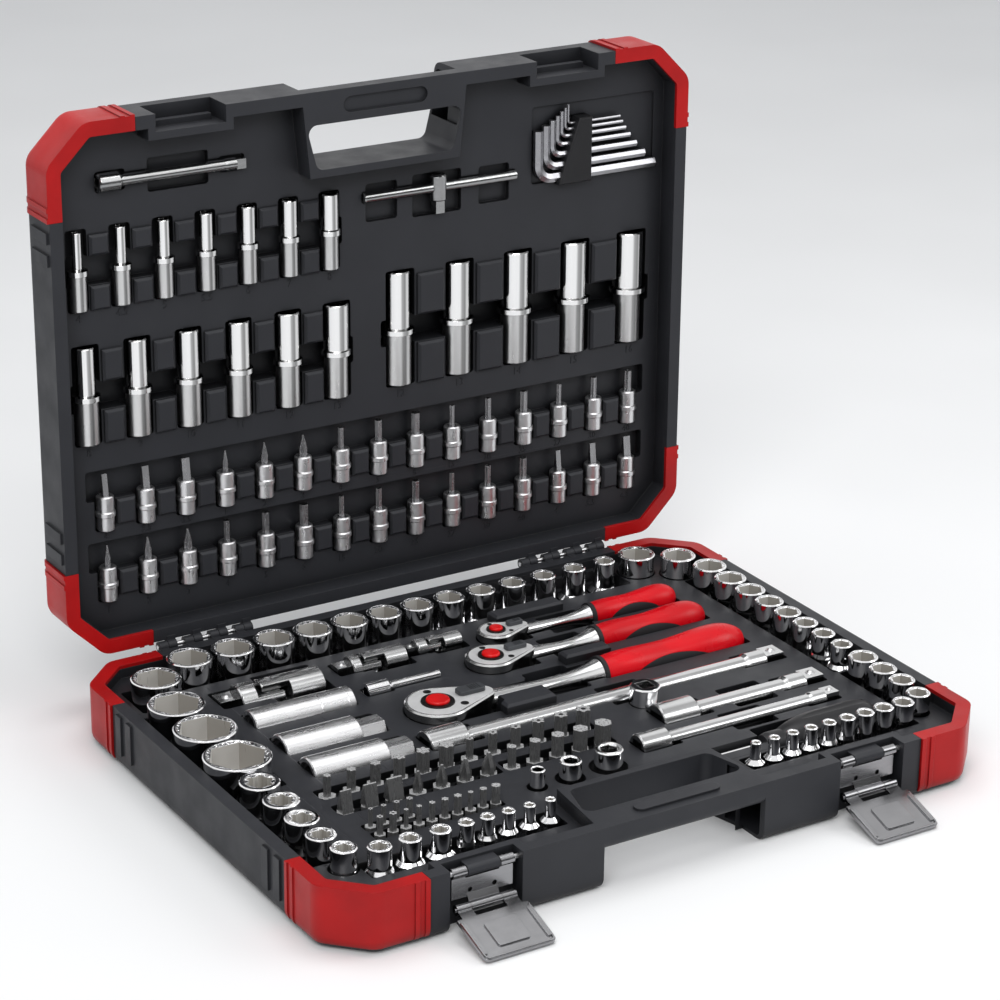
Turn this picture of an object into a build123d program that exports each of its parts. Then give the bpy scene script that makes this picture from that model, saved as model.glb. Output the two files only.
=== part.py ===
from build123d import *
import os
from collections import namedtuple
from math import cos, radians, sin, sqrt

os.makedirs("parts", exist_ok=True)

# Case sizes
CASE_W = 460.0  # outside width at the rim
CASE_D = 343.0  # outside depth at the rim
BASE_H = 40.0  # underside to rim
LID_H = 37.0  # lid back to rim
CORNER_CUT = 24.5  # leg of the cut-off corners
CORNER_ROUND = 12.0  # rounding where the cut meets the sides
EDGE_ROUND = 8.0  # rounding of the outer bottom edges
SIDE_WALL = 4.8
FLOOR_WALL = 2.2
LIP_W = 8.5  # flat rim seen from above
LIP_T = 2.4
TRAY_WALL = 1.4
BASE_DROP = 9.0  # rim down to the base tray's top
LID_DROP = 15.5  # rim down to the lid tray's top
PART_GAP = 0.4  # left between the rims when shut

# Clearances
SEAT = 0.3  # under a tool that lies or stands in its pocket
SIDE = 0.6  # beside a tool in its pocket
RUN = 0.05  # radial fit of a pin in its hole
SKIN = 0.2  # between a corner guard and the shell under it

# Lid hinge
HINGE_BACK = 4.0  # axis behind the rim's back edge
OPEN_ANGLE = 90.6
HINGE_X = 136.0
HINGE_PAIRS = 4
PAIR_PITCH = 18.0
KNUCKLE_W = 6.0
KNUCKLE_R = 3.5
HINGE_PIN_R = 1.5

# Carrying handle, shared by both halves
HANDLE_W = 21.0
HANDLE_T = 15.0
HANDLE_ROUND = 6.0
GAP_FRONT = 113.0
GAP_BACK = 98.0
GAP_DEPTH = 29.0
GAP_ROUND = 6.0
ZONE_LIP = 5.0  # rim left around the handle gap and the latch recesses
KEY_L = 59.0  # locating key on the handle
KEY_W = 9.0
KEY_H = 1.6

# Corner guards
GUARD_LEN = 58.0
GUARD_T = 2.4
GUARD_PROUD = 0.8
GUARD_FOOT = 4.0  # guard's lower edge above the underside
RIB_W = 3.0
RIB_PITCH = 6.5

# Raised bands on the left and right walls, beside the guards
BAND_W = 7.0
BAND_PROUD = 1.4
BAND_SINK = 3.0  # band's upper end under the rim
BAND_PLACES = (10.0, 24.0)  # middle of each band past the guard

# Shallow panel moulded into the lid's back, with ribs left standing
PANEL_W = 366.0
PANEL_D = 226.0
PANEL_SINK = 0.9
PANEL_ROUND = 18.0
PANEL_BACK = 32.0  # panel's edge in front of the hinge side
PANEL_RIBS = 4
PANEL_RIB_W = 9.0

# Latches
LATCH_X = 135.0
LATCH_W = 46.0
RECESS_D = 11.0
LID_NOTCH = 22.0
CATCH_L = 4.0
LATCH_DROP = 5.0  # plate pin under the rim
LATCH_PIN_R = 1.6
LINK_L = 21.0  # plate pin to lever pin
LINK_T = 1.6
LEVER_L = 41.0
LEVER_T = 2.0
LEVER_OUT = 4.0  # lever pin in front of the plate pin
LEVER_REST = 73.0  # lever's angle from straight down
EYE_R = 3.2
EYE_W = 9.0
LINK_W = LATCH_W - 6.0
BOSS_R = 3.4  # moulded boss round the pin between the plate's eyes
BOSS_W = LINK_W - 2 * EYE_W - 1.0

# Socket families: drive square, outside of the drive end, length
Drive = namedtuple("Drive", "square outside length")
HALF = Drive(12.7, 22.6, 38.0)
THREE_EIGHTHS = Drive(9.53, 17.4, 29.0)
QUARTER = Drive(6.35, 11.8, 25.0)
BIG_LENGTH = 42.0  # the largest half inch sockets
STAND = 5.0  # small and middle sockets above the rim
STAND_BIG = 6.5
ROW_GAP = 1.9  # between neighbours in a row

Half = namedtuple("Half", "plane centre facing height drop")
HINGE_Y = CASE_D / 2 + HINGE_BACK
HINGE_Z = BASE_H + PART_GAP / 2
swing = radians(OPEN_ANGLE)
HINGE_PLANE = Plane(
    origin=(0, HINGE_Y, HINGE_Z),
    x_dir=(1, 0, 0),
    z_dir=(0, -sin(swing), -cos(swing)),
)
BASE = Half(Plane.XY.offset(BASE_H), 0, -1, BASE_H, BASE_DROP)
LID = Half(HINGE_PLANE.offset(-PART_GAP / 2), HINGE_Y, 1, LID_H, LID_DROP)


def front(half, distance):
    """Local y of a line that far behind the half's front edge."""
    return half.centre + half.facing * (CASE_D / 2 - distance)


def save(label, solids):
    """Write one node that holds the given separate solids."""
    with BuildPart() as node:
        add(solids)
    node.part.label = label
    export_step(node.part, f"parts/{label}.step")


def save_apart(label, solids):
    """Write one node whose solids touch and stay separate."""
    node = Compound(solids)
    node.label = label
    export_step(node, f"parts/{label}.step")


def turned(points):
    """Solid of revolution about Z from (radius, height) points."""
    with BuildPart() as blank:
        with BuildSketch(Plane.XZ):
            with BuildLine():
                Polyline(*points, close=True)
            make_face()
        revolve(axis=Axis.Z)
    return blank.part


# Case halves


def case_outline(inset):
    cut = CORNER_CUT - inset * (2 - sqrt(2))
    with BuildSketch() as outline:
        Rectangle(CASE_W - 2 * inset, CASE_D - 2 * inset)
        chamfer(outline.vertices(), cut)
        fillet(outline.vertices(), max(CORNER_ROUND - inset, 1.5))
    return outline.sketch


def half_solid(half, inset, sink, floor):
    """The half's outer form, drawn in by inset and starting sink below the rim."""
    outline = case_outline(inset)
    with BuildPart() as form:
        with BuildSketch(half.plane.offset(-sink)):
            with Locations((0, half.centre)):
                add(outline)
        extrude(amount=-(half.height - sink - floor))
        below = Axis(half.plane.origin, half.plane.z_dir)
        bottom = form.faces().sort_by(below)[0]
        fillet(bottom.edges(), max(EDGE_ROUND - inset, 1.5))
    return form.part


def gap_points(half, grow, front_line):
    """Corners of the handle gap, grown all round."""
    near = front(half, front_line)
    far = front(half, HANDLE_W + GAP_DEPTH + grow)
    wide = GAP_FRONT / 2 + grow
    slim = GAP_BACK / 2 + grow
    corners = [(-wide, near), (wide, near), (slim, far), (-slim, far)]
    return corners if half.facing < 0 else corners[::-1]


def front_zones(half, grow):
    """Handle gap and latch recesses, grown and run out past the front edge."""
    beyond = 20.0
    depth = RECESS_D + grow + beyond
    with BuildSketch() as zones:
        Polygon(*gap_points(half, grow, -beyond), align=None)
        with Locations(*[(side * LATCH_X, front(half, depth / 2 - beyond)) for side in (-1, 1)]):
            Rectangle(LATCH_W + 2 * SIDE + 2 * grow, depth)
    return zones.sketch


def tray_area(half, grow):
    """Inside of the rim, grown outward."""
    outline = case_outline(LIP_W - grow)
    zones = front_zones(half, ZONE_LIP - grow)
    with BuildSketch() as area:
        with Locations((0, half.centre)):
            add(outline)
        add(zones, mode=Mode.SUBTRACT)
    return area.sketch


def corner_boxes(half, length):
    x = CASE_W / 2 - length / 2 + 5
    y = CASE_D / 2 - length / 2 + 5
    with BuildSketch() as boxes:
        with Locations((0, half.centre)):
            with Locations((x, y), (-x, y), (x, -y), (-x, -y)):
                Rectangle(length + 10, length + 10)
    return boxes.sketch


def guard_skin(half, proud, gap):
    """Corner skin with its top lip, over the whole half."""
    outer = half_solid(half, -proud, 0, 0)
    inner = half_solid(half, GUARD_T + gap, LIP_T + gap, FLOOR_WALL)
    area = tray_area(half, -gap)
    with BuildPart() as skin:
        add(outer)
        add(inner, mode=Mode.SUBTRACT)
        with BuildSketch(half.plane):
            add(area)
        extrude(amount=-half.height, mode=Mode.SUBTRACT)
    return skin.part


def corner_guards(half):
    skin = guard_skin(half, GUARD_PROUD, 0)
    ribbed = guard_skin(half, 2 * GUARD_PROUD, 0)
    corners = corner_boxes(half, GUARD_LEN)
    rib_lines = [GUARD_LEN - RIB_W / 2, GUARD_LEN - RIB_W / 2 - RIB_PITCH]
    deep = half.height - GUARD_FOOT
    with BuildPart() as ribs:
        with BuildSketch(half.plane):
            with Locations((0, half.centre)):
                for line in rib_lines:
                    x = CASE_W / 2 - line
                    y = CASE_D / 2 - line
                    with Locations((x, 0), (-x, 0)):
                        Rectangle(RIB_W, 2 * CASE_D)
                    with Locations((0, y), (0, -y)):
                        Rectangle(2 * CASE_W, RIB_W)
        extrude(amount=-deep)
        add(ribbed, mode=Mode.INTERSECT)
    with BuildPart() as guards:
        with BuildSketch(half.plane):
            add(corners)
        extrude(amount=-deep)
        add(skin, mode=Mode.INTERSECT)
    with BuildPart() as ribbed_guards:
        add(guards.part)
        add(ribs.part)
        with BuildSketch(half.plane):
            add(corners)
        extrude(amount=-deep, mode=Mode.INTERSECT)
    return ribbed_guards.part


def knuckle_places(shift):
    """x of one half's knuckles over both hinges."""
    spots = []
    for side in (-1, 1):
        for pair in range(HINGE_PAIRS):
            middle = side * HINGE_X + (pair - (HINGE_PAIRS - 1) / 2) * PAIR_PITCH
            spots.append(middle + shift * (KNUCKLE_W / 2 + SEAT / 2))
    return spots


def side_bands(half):
    proud = half_solid(half, -BAND_PROUD, BAND_SINK, 0)
    with BuildPart() as bands:
        with BuildSketch(half.plane):
            with Locations((0, half.centre)):
                for place in BAND_PLACES:
                    y = CASE_D / 2 - GUARD_LEN - place
                    with Locations((0, y), (0, -y)):
                        Rectangle(2 * CASE_W, BAND_W)
        extrude(amount=-(half.height - EDGE_ROUND - BAND_SINK))
        add(proud, mode=Mode.INTERSECT)
    return bands.part


def shell(half, hinge_plane, shift):
    outer = half_solid(half, 0, 0, 0)
    bands = side_bands(half)
    inner = half_solid(half, SIDE_WALL, LIP_T, FLOOR_WALL)
    kept = front_zones(half, FLOOR_WALL)
    with BuildPart() as cavity:
        add(inner)
        with BuildSketch(half.plane):
            add(kept)
        extrude(amount=-2 * half.height, mode=Mode.SUBTRACT)
    area = tray_area(half, 0)
    skin = guard_skin(half, 0, SKIN)
    corners = corner_boxes(half, GUARD_LEN + SKIN)
    with BuildPart() as seats:
        with BuildSketch(half.plane):
            add(corners)
        extrude(amount=-(half.height - GUARD_FOOT + SKIN))
        add(skin, mode=Mode.INTERSECT)
    notch = half.height if half.facing < 0 else LID_NOTCH
    side_plane = Plane(
        origin=half.plane.origin, x_dir=half.plane.y_dir, z_dir=half.plane.x_dir
    )
    bar_middle = front(half, HANDLE_W / 2)
    reach = HINGE_BACK + SIDE_WALL / 2
    key_line = front(half, HANDLE_W / 2)
    key_way = 1 if half.facing < 0 else -1
    key_mode = Mode.ADD if half.facing < 0 else Mode.SUBTRACT
    key_grow = 0 if half.facing < 0 else SIDE
    with BuildPart() as body:
        add(outer)
        add(bands)
        add(cavity.part, mode=Mode.SUBTRACT)
        with BuildSketch(half.plane):
            add(area)
        extrude(amount=-2 * LIP_T, mode=Mode.SUBTRACT)
        add(seats.part, mode=Mode.SUBTRACT)
        # handle gap, and the room under the bar
        with BuildSketch(half.plane) as gap:
            Polygon(*gap_points(half, 0, HANDLE_W), align=None)
            fillet(gap.vertices(), GAP_ROUND)
        extrude(amount=-2 * half.height, mode=Mode.SUBTRACT)
        with BuildSketch(side_plane):
            with Locations((bar_middle, -half.height / 2 - HANDLE_T / 2 + HANDLE_ROUND / 2)):
                Rectangle(HANDLE_W + 1, half.height - HANDLE_T + HANDLE_ROUND)
            with Locations((bar_middle, 0)):
                RectangleRounded(HANDLE_W, 2 * HANDLE_T, HANDLE_ROUND, mode=Mode.SUBTRACT)
        extrude(amount=GAP_FRONT / 2, both=True, mode=Mode.SUBTRACT)
        # locating key on the base's bar, its slot in the lid's
        with BuildSketch(half.plane):
            with Locations((0, key_line)):
                SlotOverall(KEY_L + 2 * key_grow, KEY_W + 2 * key_grow)
        extrude(amount=key_way * (KEY_H + key_grow), mode=key_mode)
        # latch recesses
        with BuildSketch(half.plane):
            with Locations(*[(s * LATCH_X, front(half, RECESS_D / 2 - 1)) for s in (-1, 1)]):
                Rectangle(LATCH_W + 2 * SIDE, RECESS_D + 2)
        extrude(amount=-notch, mode=Mode.SUBTRACT)
        if half.facing > 0:
            with BuildSketch(half.plane.offset(-LID_NOTCH / 2)):
                with Locations(*[(s * LATCH_X, front(half, RECESS_D - CATCH_L / 2 + 1)) for s in (-1, 1)]):
                    Rectangle(LATCH_W - 8, CATCH_L + 2)
            extrude(amount=-LID_NOTCH / 5)
            with BuildSketch(half.plane.offset(-half.height)):
                with Locations((0, half.centre - CASE_D / 2 + PANEL_BACK + PANEL_D / 2)):
                    RectangleRounded(PANEL_W, PANEL_D, PANEL_ROUND)
                    with GridLocations(0, PANEL_D / (PANEL_RIBS + 1), 1, PANEL_RIBS):
                        SlotOverall(PANEL_W - 6 * PANEL_RIB_W, PANEL_RIB_W, mode=Mode.SUBTRACT)
            extrude(amount=PANEL_SINK, mode=Mode.SUBTRACT)
        else:
            # boss between the plate's eyes, and the pin's hole
            with BuildSketch(side_plane):
                with Locations((latch_pin_y + RECESS_D / 4 + 0.5, -LATCH_DROP)):
                    Rectangle(RECESS_D / 2 + 1, 2 * BOSS_R)
                with Locations((latch_pin_y, -LATCH_DROP)):
                    Circle(BOSS_R)
            boss = extrude(amount=BOSS_W / 2, both=True, mode=Mode.PRIVATE)
            add([boss.moved(Location((s * LATCH_X, 0, 0))) for s in (-1, 1)])
            with Locations(*[(s * LATCH_X, latch_pin_y, latch_pin_z) for s in (-1, 1)]):
                Cylinder(
                    LATCH_PIN_R + RUN,
                    LATCH_PIN_L + SEAT,
                    rotation=(0, 90, 0),
                    mode=Mode.SUBTRACT,
                )
        # hinge knuckles and their arms
        with BuildSketch(hinge_plane):
            with Locations(*[(x, half.facing * reach / 2) for x in knuckle_places(shift)]):
                Rectangle(KNUCKLE_W, reach)
        extrude(amount=-KNUCKLE_R)
        with Locations(*[(x, HINGE_Y, HINGE_Z) for x in knuckle_places(shift)]):
            Cylinder(KNUCKLE_R, KNUCKLE_W, rotation=(0, 90, 0))
        with Locations((0, HINGE_Y, HINGE_Z)):
            Cylinder(HINGE_PIN_R + RUN, CASE_W, rotation=(0, 90, 0), mode=Mode.SUBTRACT)
    return body.part


LATCH_PIN_L = LATCH_W + 2 * SIDE + 2 * FLOOR_WALL
latch_pin_y = -CASE_D / 2 + RECESS_D / 2
latch_pin_z = BASE_H - LATCH_DROP

base_body = shell(BASE, Plane((0, HINGE_Y, HINGE_Z)), -1)
save("base_shell", base_body)
lid_body = shell(LID, HINGE_PLANE, 1)
save("lid_shell", lid_body)
save("base_corner_guards", corner_guards(BASE).solids())
save("lid_corner_guards", corner_guards(LID).solids())

# Pockets, filled in as the tools are placed
Pocket = namedtuple("Pocket", "x y long wide depth")
base_pockets = []
lid_pockets = []
POCKET_ROUND = 2.0

# Raised blocks between tools, moulded on the trays
Block = namedtuple("Block", "x y long wide rise")
base_blocks = []
lid_blocks = []
BLOCK_GAP = 0.5  # left between a block and the pockets beside it
BLOCK_RISE = 3.0
PLATEAU_RISE = 6.5  # the larger blocks beside the ratchets
BLOCK_EDGE = 1.6
TRENCH_SIDE = 1.0  # floor left round the row's pockets
SOCKET_FLOOR = 17.0  # sunk floors under the rim
BIT_FLOOR = 15.0


def round_pocket(pockets, x, y, outside, depth):
    pockets.append(Pocket(x, y, None, outside + 2 * SIDE, depth + SEAT))


def slot_pocket(pockets, x, y, long, wide, depth):
    pockets.append(Pocket(x, y, long + 2 * SIDE, wide + 2 * SIDE, depth + SEAT))


def trench(pockets, spots, feet, depth):
    """Sunk floor round a row of standing tools."""
    reach = [foot / 2 + TRENCH_SIDE for foot in feet]
    left = min(x - r for (x, y), r in zip(spots, reach))
    right = max(x + r for (x, y), r in zip(spots, reach))
    low = min(y - r for (x, y), r in zip(spots, reach))
    high = max(y + r for (x, y), r in zip(spots, reach))
    pockets.append(Pocket((left + right) / 2, (low + high) / 2, right - left, high - low, depth))


def row(start, widths, way):
    """Centre lines of neighbours that stand side by side."""
    places = [start]
    for left, right in zip(widths, widths[1:]):
        places.append(places[-1] + way * ((left + right) / 2 + ROW_GAP))
    return places


def placed(solid, plane):
    return solid.moved(Location(plane))


# Sockets


def socket_wall(size, drive):
    """Outside of a hexagon socket's working end."""
    grow = 1.22 if drive is HALF else 1.25
    return grow * size + (2.5 if drive is HALF else 1.5)


def socket_form(top, drive, length, rings):
    """Body of a socket, drive end at z = 0; rings are (width, outside) collars."""
    low = drive.outside / 2
    high = top / 2
    edge = 0.7
    foot = 0.45 * length
    points = [(0, 0), (low - edge, 0), (low, edge), (low, foot)]
    rise = foot + 2.5
    for width, outside in rings:
        points += [(outside / 2, foot + edge / 2), (outside / 2, foot + width)]
        rise = foot + width + edge
    points += [(high, rise), (high, length - edge), (high - edge, length), (0, length)]
    return turned(points)


def star_face(size):
    """Six-lobed outline across its points."""
    with BuildSketch() as star:
        Circle(0.385 * size)
        with PolarLocations(0.385 * size, 6):
            Circle(0.115 * size)
    return star.sketch


def finish_socket(blank, profile, across, drive, length):
    """Cut the working recess, its lead-in, the drive square and the hole between."""
    drive_depth = 0.42 * length
    with BuildPart() as body:
        add(blank)
        with BuildSketch(Plane.XY.offset(length)):
            add(profile)
        extrude(amount=-0.5 * length, mode=Mode.SUBTRACT)
        with Locations((0, 0, length)):
            Cone(
                across / 2 - 0.2,
                across / 2 + 0.5,
                0.7,
                align=(Align.CENTER, Align.CENTER, Align.MAX),
                mode=Mode.SUBTRACT,
            )
        with BuildSketch():
            Rectangle(drive.square, drive.square)
        extrude(amount=drive_depth, mode=Mode.SUBTRACT)
        with BuildSketch():
            Circle(min(0.36 * across, 0.4 * drive.square))
        extrude(amount=length, mode=Mode.SUBTRACT)
    return body.part


def hex_profile(size):
    with BuildSketch() as hexagon:
        RegularPolygon(size / 2, 6, major_radius=False)
    return hexagon.sketch


def hex_socket(size, drive, length):
    blank = socket_form(socket_wall(size, drive), drive, length, [])
    return finish_socket(blank, hex_profile(size), 1.1547 * size, drive, length)


def star_socket(outside, drive, length):
    across = 0.72 * outside
    blank = socket_form(outside, drive, length, [])
    return finish_socket(blank, star_face(across), across, drive, length)


def stand_row(makers, spots, lengths, rise, feet):
    """Stand upright tools in round base pockets."""
    solids = []
    for maker, (x, y), length, foot in zip(makers, spots, lengths, feet):
        solids.append(placed(maker, Plane((x, y, BASE_H + rise - length))))
        round_pocket(base_pockets, x, y, foot, length - rise)
    return solids


def base_sockets(sizes, drive, spots, length, rise):
    makers = [hex_socket(size, drive, length) for size in sizes]
    feet = [max(socket_wall(size, drive), drive.outside) for size in sizes]
    return stand_row(makers, spots, [length] * len(sizes), rise, feet)


# Perimeter rows, walked from their first place
BACK_LINE = 144.0
FRONT_LINE = -132.5
LEFT_LINE = -200.5
RIGHT_LINE = 208.0
half_sizes = [22, 21, 20, 19, 18, 17, 16, 15, 14, 13, 12, 11, 10]
half_widths = [max(socket_wall(size, HALF), HALF.outside) for size in half_sizes]
half_spots = [(x, BACK_LINE) for x in row(-162.5, half_widths, 1)]
big_sizes = [27, 30, 32]
big_widths = [socket_wall(size, HALF) for size in big_sizes]
big_spots = [(LEFT_LINE, y) for y in row(85.0, big_widths, -1)]
corner_spot = (-194.0, 127.0)
half_solids = base_sockets([24] + half_sizes, HALF, [corner_spot] + half_spots, HALF.length, STAND)
half_solids += base_sockets(big_sizes, HALF, big_spots, BIG_LENGTH, STAND_BIG)
save("half_inch_sockets", half_solids)
trench(base_pockets, half_spots, half_widths, SOCKET_FLOOR)
trench(base_pockets, [corner_spot], [socket_wall(24, HALF)], SOCKET_FLOOR)
trench(base_pockets, big_spots, big_widths, SOCKET_FLOOR)

middle_sizes = [17, 16, 15, 14, 13, 12, 11, 10]
middle_widths = [max(socket_wall(size, THREE_EIGHTHS), THREE_EIGHTHS.outside) for size in middle_sizes]
middle_spots = [(RIGHT_LINE, y) for y in row(101.5, middle_widths, -1)]
middle_spots = [(176.0, 143.0), (199.5, 127.0)] + middle_spots
middle_sizes = [19, 18] + middle_sizes
middle_solids = base_sockets(middle_sizes, THREE_EIGHTHS, middle_spots, THREE_EIGHTHS.length, STAND)
save("three_eighths_sockets", middle_solids)
trench(base_pockets, middle_spots[2:], middle_widths, SOCKET_FLOOR)

side_sizes = [14, 13, 12]
side_widths = [socket_wall(size, QUARTER) for size in side_sizes]
side_spots = [(RIGHT_LINE, y) for y in row(-67.5, side_widths, -1)]
small_sizes = [10, 9, 8, 7, 6, 5.5, 5, 4.5, 4]
small_widths = [max(socket_wall(size, QUARTER), QUARTER.outside) for size in small_sizes]
small_spots = [(x, FRONT_LINE) for x in row(188.5, small_widths, -1)]
quarter_spots = side_spots + [(205.0, -126.5)] + small_spots
quarter_solids = base_sockets(side_sizes + [11] + small_sizes, QUARTER, quarter_spots, QUARTER.length, STAND)
save("quarter_inch_sockets", quarter_solids)
trench(base_pockets, side_spots, side_widths, SOCKET_FLOOR)
trench(base_pockets, small_spots, small_widths, SOCKET_FLOOR)

# Star sockets: outside of the working end, largest first
star_drives = [HALF] * 2 + [THREE_EIGHTHS] * 6 + [QUARTER] * 5
star_walls = [24.4, 21.8, 20.4, 18.0, 15.6, 14.5, 13.4, 12.9, 9.9, 9.0, 8.3, 7.4, 6.6]
star_feet = [max(wall, drive.outside) for wall, drive in zip(star_walls, star_drives)]
star_side = [(LEFT_LINE - 2.5, y) for y in row(-29.5, [foot + 1.5 for foot in star_feet[:4]], -1)]
star_front = [(x, FRONT_LINE) for x in row(-181.5, [foot + 0.4 for foot in star_feet[5:]], 1)]
star_spots = star_side + [(-199.5, -124.0)] + star_front
star_makers = [star_socket(w, d, d.length) for w, d in zip(star_walls, star_drives)]
star_lengths = [drive.length for drive in star_drives]
save("star_sockets", stand_row(star_makers, star_spots, star_lengths, STAND, star_feet))
trench(base_pockets, star_side, star_feet[:4], SOCKET_FLOOR)
trench(base_pockets, star_front, star_feet[5:], SOCKET_FLOOR)

# Bits that stand in the base
BIT_PITCH = 16.2
BIT_FIRST_X = -164.0
BIT_L = 30.0
BIT_SHANK = 10.0
BIT_RISE = 3.0
SMALL_BIT_L = 25.0
SMALL_SHANK = 6.35
SMALL_PITCH = 8.6


def tip(kind, size, length, shank):
    """Working end of a bit, from z = 0 up to its length."""
    with BuildPart() as point:
        if kind == "slot":
            with BuildSketch():
                Rectangle(size, 0.8 * shank)
            with BuildSketch(Plane.XY.offset(length)):
                Rectangle(size, 0.16 * size)
            loft()
        elif kind == "cross":
            with BuildSketch():
                Rectangle(size, 0.3 * size)
                Rectangle(0.3 * size, size)
            extrude(amount=length)
            Cone(
                0.75 * size,
                0.12 * size,
                length,
                align=(Align.CENTER, Align.CENTER, Align.MIN),
                mode=Mode.INTERSECT,
            )
        else:
            with BuildSketch():
                add(hex_profile(size) if kind == "hex" else star_face(size))
                if kind == "tamper":
                    Circle(0.16 * size, mode=Mode.SUBTRACT)
            extrude(amount=length)
    return point.part


def bit(kind, size, length, shank):
    tip_length = 0.45 * length
    end = tip(kind, size, tip_length, shank)
    with BuildPart() as whole:
        with BuildSketch():
            add(hex_profile(shank))
        extrude(amount=length - tip_length)
        with Locations((0, 0, length - tip_length)):
            add(end)
    return whole.part


def bit_row(kinds, y, x, pitch, length, shank):
    spots = [(x + pitch * place, y) for place in range(len(kinds))]
    makers = [bit(kind, size, length, shank) for kind, size in kinds]
    feet = [1.1547 * shank] * len(kinds)
    trench(base_pockets, spots, feet, BIT_FLOOR)
    return stand_row(makers, spots, [length] * len(kinds), BIT_RISE, feet)


star_bits = [("star", 5.0 + 0.95 * step) for step in range(6)]
star_bits += [("tamper", 5.0 + 0.95 * step) for step in range(6)]
driver_bits = [("slot", 7.0 + 1.4 * step) for step in range(3)]
driver_bits += [("cross", 6.0 + 0.8 * step) for step in range(4)]
hex_bits = [("hex", 5.0 + 1.2 * step) for step in range(5)]
save("star_bits", bit_row(star_bits, -39.5, BIT_FIRST_X, BIT_PITCH, BIT_L, BIT_SHANK))
save("screwdriver_bits", bit_row(driver_bits, -61.5, BIT_FIRST_X, BIT_PITCH, BIT_L, BIT_SHANK))
hex_first = BIT_FIRST_X + len(driver_bits) * BIT_PITCH
save("hexagon_bits", bit_row(hex_bits, -61.5, hex_first, BIT_PITCH, BIT_L, BIT_SHANK))
short_back = [("tamper", 3.0 + 0.4 * step) for step in range(4)]
short_front = [("tamper", 4.2), ("tamper", 4.8)] + [("star", 3.0 + 0.5 * step) for step in range(5)]
short_front += [("hex", 3.0 + 1.0 * step) for step in range(3)]
short_solids = bit_row(short_back, -88.5, BIT_FIRST_X + 1.5, SMALL_PITCH, SMALL_BIT_L, SMALL_SHANK)
short_solids += bit_row(short_front, -99.5, BIT_FIRST_X + 1.5, SMALL_PITCH, SMALL_BIT_L, SMALL_SHANK)
save("short_bits", short_solids)

# Bit adapters and the square coupler, standing
ADAPTER_L = 30.0
COUPLER_L = 24.0


def adapter(drive, hexagon):
    edge = 0.7
    outside = drive.outside / 2
    waist = 0.78 * outside
    points = [(0, 0), (outside - edge, 0), (outside, edge), (outside, 12), (waist, 14)]
    points += [(waist, ADAPTER_L - edge), (waist - edge, ADAPTER_L), (0, ADAPTER_L)]
    return finish_socket(turned(points), hex_profile(hexagon), 1.1547 * hexagon, drive, ADAPTER_L)


def coupler():
    edge = 0.8
    outside = 9.6
    points = [(0, 0), (outside - edge, 0), (outside, edge), (outside, COUPLER_L - edge)]
    points += [(outside - edge, COUPLER_L), (0, COUPLER_L)]
    blank = turned(points)
    with BuildPart() as ring:
        add(blank)
        with BuildSketch():
            Rectangle(QUARTER.square, QUARTER.square)
        extrude(amount=COUPLER_L / 2, mode=Mode.SUBTRACT)
        with BuildSketch(Plane.XY.offset(COUPLER_L)):
            Rectangle(THREE_EIGHTHS.square, THREE_EIGHTHS.square)
        extrude(amount=-COUPLER_L / 2, mode=Mode.SUBTRACT)
    return ring.part


adapter_drives = [QUARTER, THREE_EIGHTHS, HALF]
adapters = [adapter(QUARTER, 6.35), adapter(THREE_EIGHTHS, 8.0), adapter(HALF, 10.0), coupler()]
adapter_spots = [(-53.0, -94.0), (-30.0, -94.0), (-2.0, -92.5), (66.0, -30.5)]
adapter_feet = [drive.outside for drive in adapter_drives] + [19.2]
adapter_lengths = [ADAPTER_L] * 3 + [COUPLER_L]
adapter_solids = stand_row(adapters, adapter_spots, adapter_lengths, BIT_RISE, adapter_feet)

# Ratchets: drive axis along Z at the origin, handle along +X, head's middle at z = 0
Ratchet = namedtuple("Ratchet", "name x y head thick square spike grip_start reach grip")
RATCHETS = [
    Ratchet("half_inch", -51.5, 24.0, 21.0, 18.0, HALF.square, 13.0, 121.0, 228.0, 13.5),
    Ratchet("three_eighths", 12.5, 66.0, 16.5, 15.0, THREE_EIGHTHS.square, 10.5, 81.0, 163.0, 11.5),
    Ratchet("quarter_inch", 36.0, 98.0, 12.5, 12.0, QUARTER.square, 7.5, 74.0, 138.5, 10.0),
]
COVER_T = 1.6
BUTTON_UP = 2.4  # button top above the head's face
BUTTON_TRAVEL = 2.0
BUTTON_ROUND = 1.4
LEVER_H = 2.6
TANG_R = 0.38  # tang radius as a share of the grip's
TANG_IN = 0.5  # share of the grip that the tang reaches
COLLAR_W = 3.0
INLAY_T = 1.5


def head_mid(tool):
    """Height of a stored ratchet's head middle."""
    return BASE_H - 0.5 - BUTTON_UP - tool.thick / 2


def pear(tool, inset):
    with BuildSketch() as outline:
        Circle(tool.head - inset)
        with Locations((1.55 * tool.head, 0)):
            Circle(0.42 * tool.thick - inset / 2)
        make_hull()
    return outline.sketch


def lever_spot(tool):
    return (1.02 * tool.head, 0.12 * tool.head)


def screw_spots(tool):
    return [(0.05 * tool.head, 0.72 * tool.head), (0.64 * tool.head, -0.48 * tool.head)]


def grip_line(tool, inset):
    """Spline points of the grip's side, from collar to end."""
    span = tool.reach - tool.grip_start
    shares = [(0, 0.8), (0.18, 0.88), (0.45, 0.84), (0.76, 1.0), (0.92, 0.88), (1.0, 0.55)]
    return [(tool.grip_start + span * along, tool.grip * out - inset) for along, out in shares]


def grip_form(tool, inset):
    points = grip_line(tool, inset)
    with BuildPart() as form:
        with BuildSketch(Plane.XY):
            with BuildLine():
                Spline(*points)
                Polyline(points[-1], (points[-1][0], 0), (points[0][0], 0), points[0])
            make_face()
        revolve(axis=Axis.X)
    return form.part


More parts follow.
